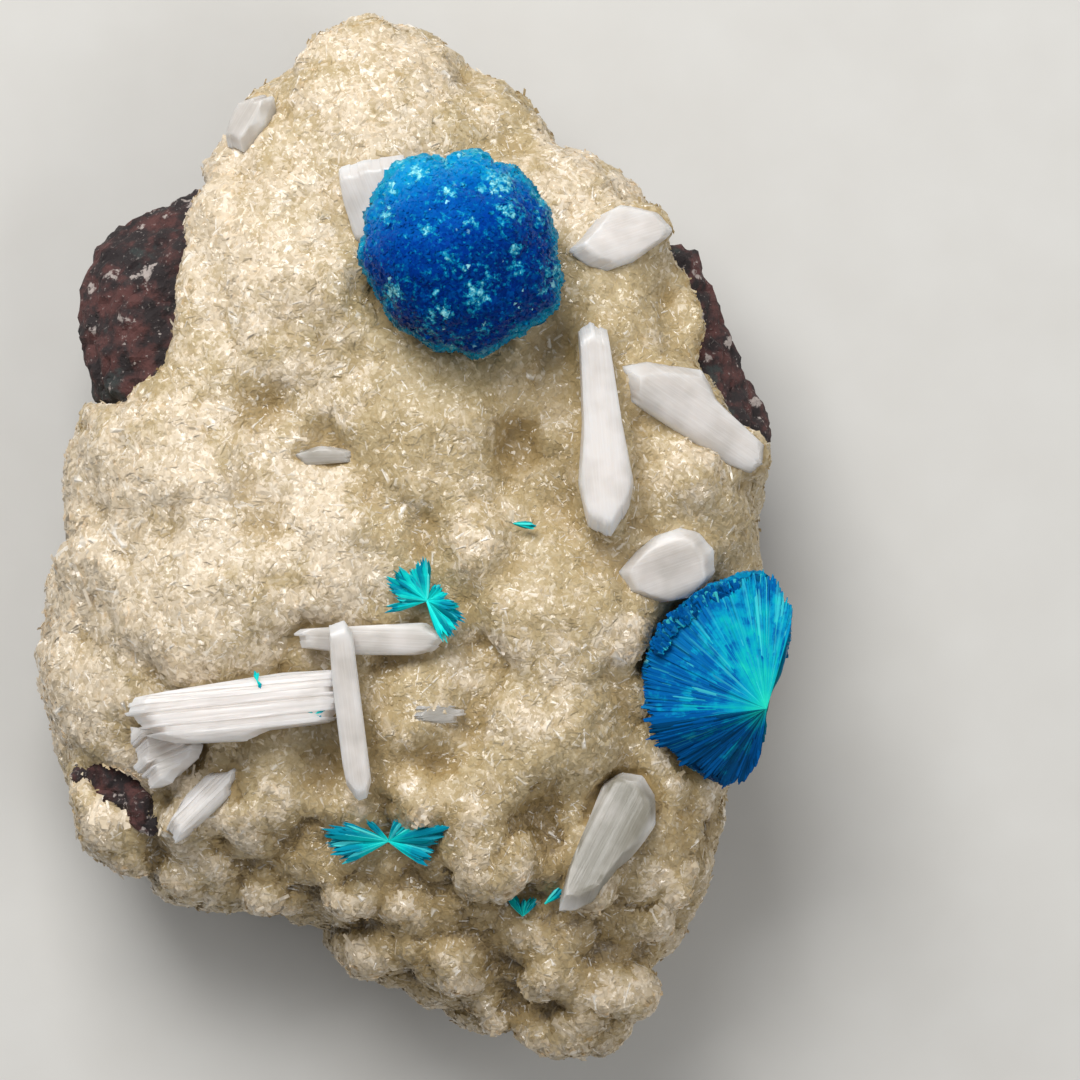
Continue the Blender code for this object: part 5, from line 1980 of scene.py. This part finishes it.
    def build(self, fan: bpy.types.Material, shell: bpy.types.Material, setting: FibreSetting) -> None:
        """Builds the pieces.

        Args:
            fan: The broken face's finish.
            shell: The outside's finish.
            setting: What sets the fibres.
        """
        made = setting.build("half_ball_fan", self.fibres(), fan)
        hand_in(made, Slot.TEAL, "cavansite_half_ball")
        belly = self.belly()
        shapes = [
            small_crystal("shell_point", Tip.POINT, (0.34, 0.28), 0.4, 0.5),
            small_crystal("shell_slant", Tip.SLANT, (0.34, 0.26), 0.36, 0.5),
        ]
        growth = Growth(
            "shell_growth", shapes, shell, spacing=0.22, smallest=0.75, largest=1.15, lean=18.0, seed=31
        )
        hand_in(growth.grow("half_ball_shell", belly.copy(), "cover", 0), Slot.BLUE, "cavansite_half_ball")
        growth.clear()
        hand_in(shown("half_ball_belly", belly, fan), Slot.TEAL, "cavansite_half_ball")


@dataclass
class CavansiteSpray:
    """A small spray of flat pointed crystals from one nucleus, each a bundle of fibres.

    Each blade is its direction in degrees, its length and width in mm, and its rise in degrees.
    """

    name: str
    nucleus: tuple[float, float, float]
    blades: tuple[tuple[float, float, float, float], ...]
    bundle: int = 18
    node: str | None = None
    blueness: float = 0.0

    def fibres(self) -> list[Fibre]:
        """Lays out the spray's fibres.

        Returns:
            The fibres.
        """
        chance = np.random.default_rng(len(self.name) * 7 + len(self.blades))
        made = []
        for turn, length, width, rise in self.blades:
            spread_angle = math.degrees(math.atan2(width / 2, length))
            for n in range(self.bundle):
                offset = (n / (self.bundle - 1) - 0.5) * 2
                made.append(
                    Fibre(
                        root=self.nucleus,
                        turn=turn + offset * spread_angle * 0.9,
                        rise=rise + chance.normal(0, 4),
                        roll=chance.normal(0, 22),
                        length=length * (1 - 0.12 * abs(offset)) * chance.uniform(0.7, 1.04),
                        width=width * chance.uniform(0.16, 0.34),
                        depth=chance.uniform(0.14, 0.26),
                        tone=float(np.clip(chance.normal(0.5, 0.26), 0, 1)),
                        hue=self.blueness + chance.uniform(-0.4, 0.5),
                    )
                )
        return made

    def build(self, material: bpy.types.Material, setting: FibreSetting) -> None:
        """Builds the piece.

        Args:
            material: Its finish.
            setting: What sets the fibres.
        """
        made = setting.build(self.name + "_fibres", self.fibres(), material)
        hand_in(made, Slot.TEAL, self.node or self.name)


SPRAYS = (
    CavansiteSpray(
        "cavansite_bow_tie_upper",
        (0.9, -4.0, 21.65),
        ((97, 2.9, 1.1, 12), (108, 2.4, 1.1, 4), (122, 2.4, 1.2, 4), (136, 3.1, 1.2, 9), (150, 3.0, 1.2, 2),
         (163, 2.5, 1.0, 8), (178, 2.2, 0.9, 5), (193, 2.9, 0.7, 3), (298, 3.1, 1.0, 14), (308, 2.8, 1.0, 8),
         (318, 2.7, 1.0, 5), (332, 2.9, 0.9, 1), (348, 2.1, 0.9, 6), (20, 1.4, 0.9, 4), (50, 1.5, 0.8, 4)),
    ),
    CavansiteSpray(
        "cavansite_bow_tie_lower",
        (-1.6, -19.4, 19.14),
        ((170, 4.4, 1.3, 6), (180, 4.3, 1.2, 3), (190, 4.0, 1.2, 8), (200, 3.6, 1.2, 3), (162, 3.4, 0.8, 3),
         (136, 2.0, 0.6, 12), (63, 1.9, 0.7, 16), (46, 2.2, 0.7, 8), (26, 4.4, 0.9, 8), (19, 5.1, 1.1, 12),
         (11, 4.6, 1.1, 3), (2, 3.6, 0.9, 7), (348, 3.0, 1.0, 2), (336, 3.3, 1.1, 2)),
        blueness=0.45,
    ),
    CavansiteSpray(
        "cavansite_sprig_lower",
        (7.0, -24.3, 16.73),
        ((55, 1.5, 0.7, 12), (84, 1.2, 0.6, 20), (122, 1.7, 0.8, 8)),
    ),
    CavansiteSpray("cavansite_prism_lower", (8.4, -23.5, 17.35), ((40, 1.6, 0.7, 10),)),
    CavansiteSpray("cavansite_prism_middle", (6.4, 0.9, 20.89), ((-6, 1.5, 0.6, 8),)),
    CavansiteSpray(
        "cavansite_specks",
        (-9.9, -9.1, 22.2),
        ((100, 0.7, 0.5, 4), (-60, 0.6, 0.4, 2)),
        bundle=4,
        node="stilbite_crossed_cluster",
    ),
    CavansiteSpray(
        "cavansite_dust",
        (-6.3, -11.2, 22.1),
        ((150, 0.8, 0.4, 2), (20, 0.9, 0.3, 0), (-20, 0.6, 0.3, 0)),
        bundle=4,
        node="stilbite_crossed_cluster",
    ),
)  # fmt: skip


# ---------------------------------------------------------------- studio
@dataclass(frozen=True)
class Lamp:
    """A square soft light: its name, place and side in mm, and its power in watts."""

    name: str
    place: tuple[float, float, float]
    side: float
    watts: float


@dataclass
class Studio:
    """The pale card, the soft lights and the camera straight over the display face."""

    eye: tuple[float, float, float] = (8.19, -0.28, 600.0)
    lens: float = 302.6
    card: float = 3000.0
    aim: tuple[float, float, float] = (0.0, 0.0, 15.0)
    lamps: tuple[Lamp, ...] = (
        Lamp("key", (-90.0, 235.0, 300.0), 230.0, 1.62),
        Lamp("fill", (300.0, -120.0, 350.0), 300.0, 0.6),
    )
    room: str = "#e8ebef"
    room_light: float = 0.3

    def floor(self) -> None:
        """Lays the card that the specimen rests on."""
        half = self.card / 2
        points = [(-half, -half, 0.0), (half, -half, 0.0), (half, half, 0.0), (-half, half, 0.0)]
        shown("floor", mesh_from("floor", points, [(0, 1, 2, 3)]), StudioCard().material())

    def hang(self, lamp: Lamp) -> None:
        """Hangs a lamp that faces the specimen.

        Args:
            lamp: The lamp.
        """
        light = bpy.data.lights.new(lamp.name, "AREA")
        light.size = lamp.side * MM
        light.energy = lamp.watts
        made = bpy.data.objects.new(lamp.name, light)
        made.location = Vector(lamp.place) * MM
        made.rotation_euler = (Vector(self.aim) - Vector(lamp.place)).to_track_quat("-Z", "Y").to_euler()
        bpy.context.scene.collection.objects.link(made)

    def camera(self) -> None:
        """Sets the camera."""
        data = bpy.data.cameras.new("camera")
        data.lens = self.lens
        made = bpy.data.objects.new("camera", data)
        made.location = Vector(self.eye) * MM
        bpy.context.scene.collection.objects.link(made)
        bpy.context.scene.camera = made

    def build(self) -> None:
        """Builds the whole studio."""
        self.floor()
        self.camera()
        for lamp in self.lamps:
            self.hang(lamp)
        world = bpy.data.worlds.new("room")
        world.use_nodes = True
        walls = world.node_tree.nodes["Background"]
        walls.inputs["Color"].default_value = linear(self.room)
        walls.inputs["Strength"].default_value = self.room_light
        bpy.context.scene.world = world
        bpy.context.scene.view_settings.view_transform = "Standard"


def main() -> None:
    """Builds every piece in order."""
    logging.basicConfig(level=logging.INFO, format="%(message)s")
    Studio().build()
    druse = DrusyStilbite().material()
    pearly = BladeStilbite().material()
    BasaltMatrix(RedBasalt().material()).build()
    DruseCrust(druse).build()
    for blade in BLADES:
        hand_in(shown(blade.name + "_blade", blade.build(pearly)), Slot.STILBITE, blade.name)
    crossed = joined("stilbite_crossed_blades", [blade.build(pearly) for blade in CROSSED])
    hand_in(crossed, Slot.STILBITE, "stilbite_crossed_cluster")
    hand_in(shown("stilbite_buried_blade", BURIED.build(pearly)), Slot.STILBITE, "druse_crust")

    ball = CavansiteBall()
    blue = BallCavansite("blue_cavansite", ball.centre, ball.radius).material()
    ball.build(blue)
    needles = FibreSetting(
        "needle_setting",
        rings=((0.0, 0.3, 0.5), (0.5, 0.7, 0.85), (0.92, 1.0, 1.0), (1.0, 0.35, 0.3)),
        section=((-0.5, -0.5), (0.5, -0.5), (0.3, 0.4), (-0.35, 0.5)),
    )
    lances = FibreSetting(
        "lance_setting",
        rings=((0.0, 0.35, 0.6), (0.4, 0.85, 1.0), (0.8, 1.0, 0.85), (1.0, 0.12, 0.15)),
        section=((-0.5, -0.4), (0.5, -0.4), (0.5, 0.2), (0.08, 0.5), (-0.5, 0.25)),
    )
    fan = FanCavansite(
        "fan_cavansite",
        nucleus="#24d2b6",
        middle="#10b2b6",
        rim="#0a90bc",
        tip="#065aa2",
        dark="#063c64",
        gleam="#4fe0da",
    ).material()
    half_ball = CavansiteHalfBall()
    shell = BallCavansite("shell_cavansite", half_ball.nucleus, half_ball.radius).material()
    half_ball.build(fan, shell, needles)
    teal = FanCavansite(
        "teal_cavansite",
        nucleus="#2cf2e4",
        middle="#14d6d0",
        rim="#0ab4ba",
        tip="#0a8aa4",
        dark="#04666a",
        gleam="#6cf8ee",
        softness=0.5,
    ).material()
    for spray in SPRAYS:
        spray.build(teal, lances)


if __name__ == "__main__":
    main()
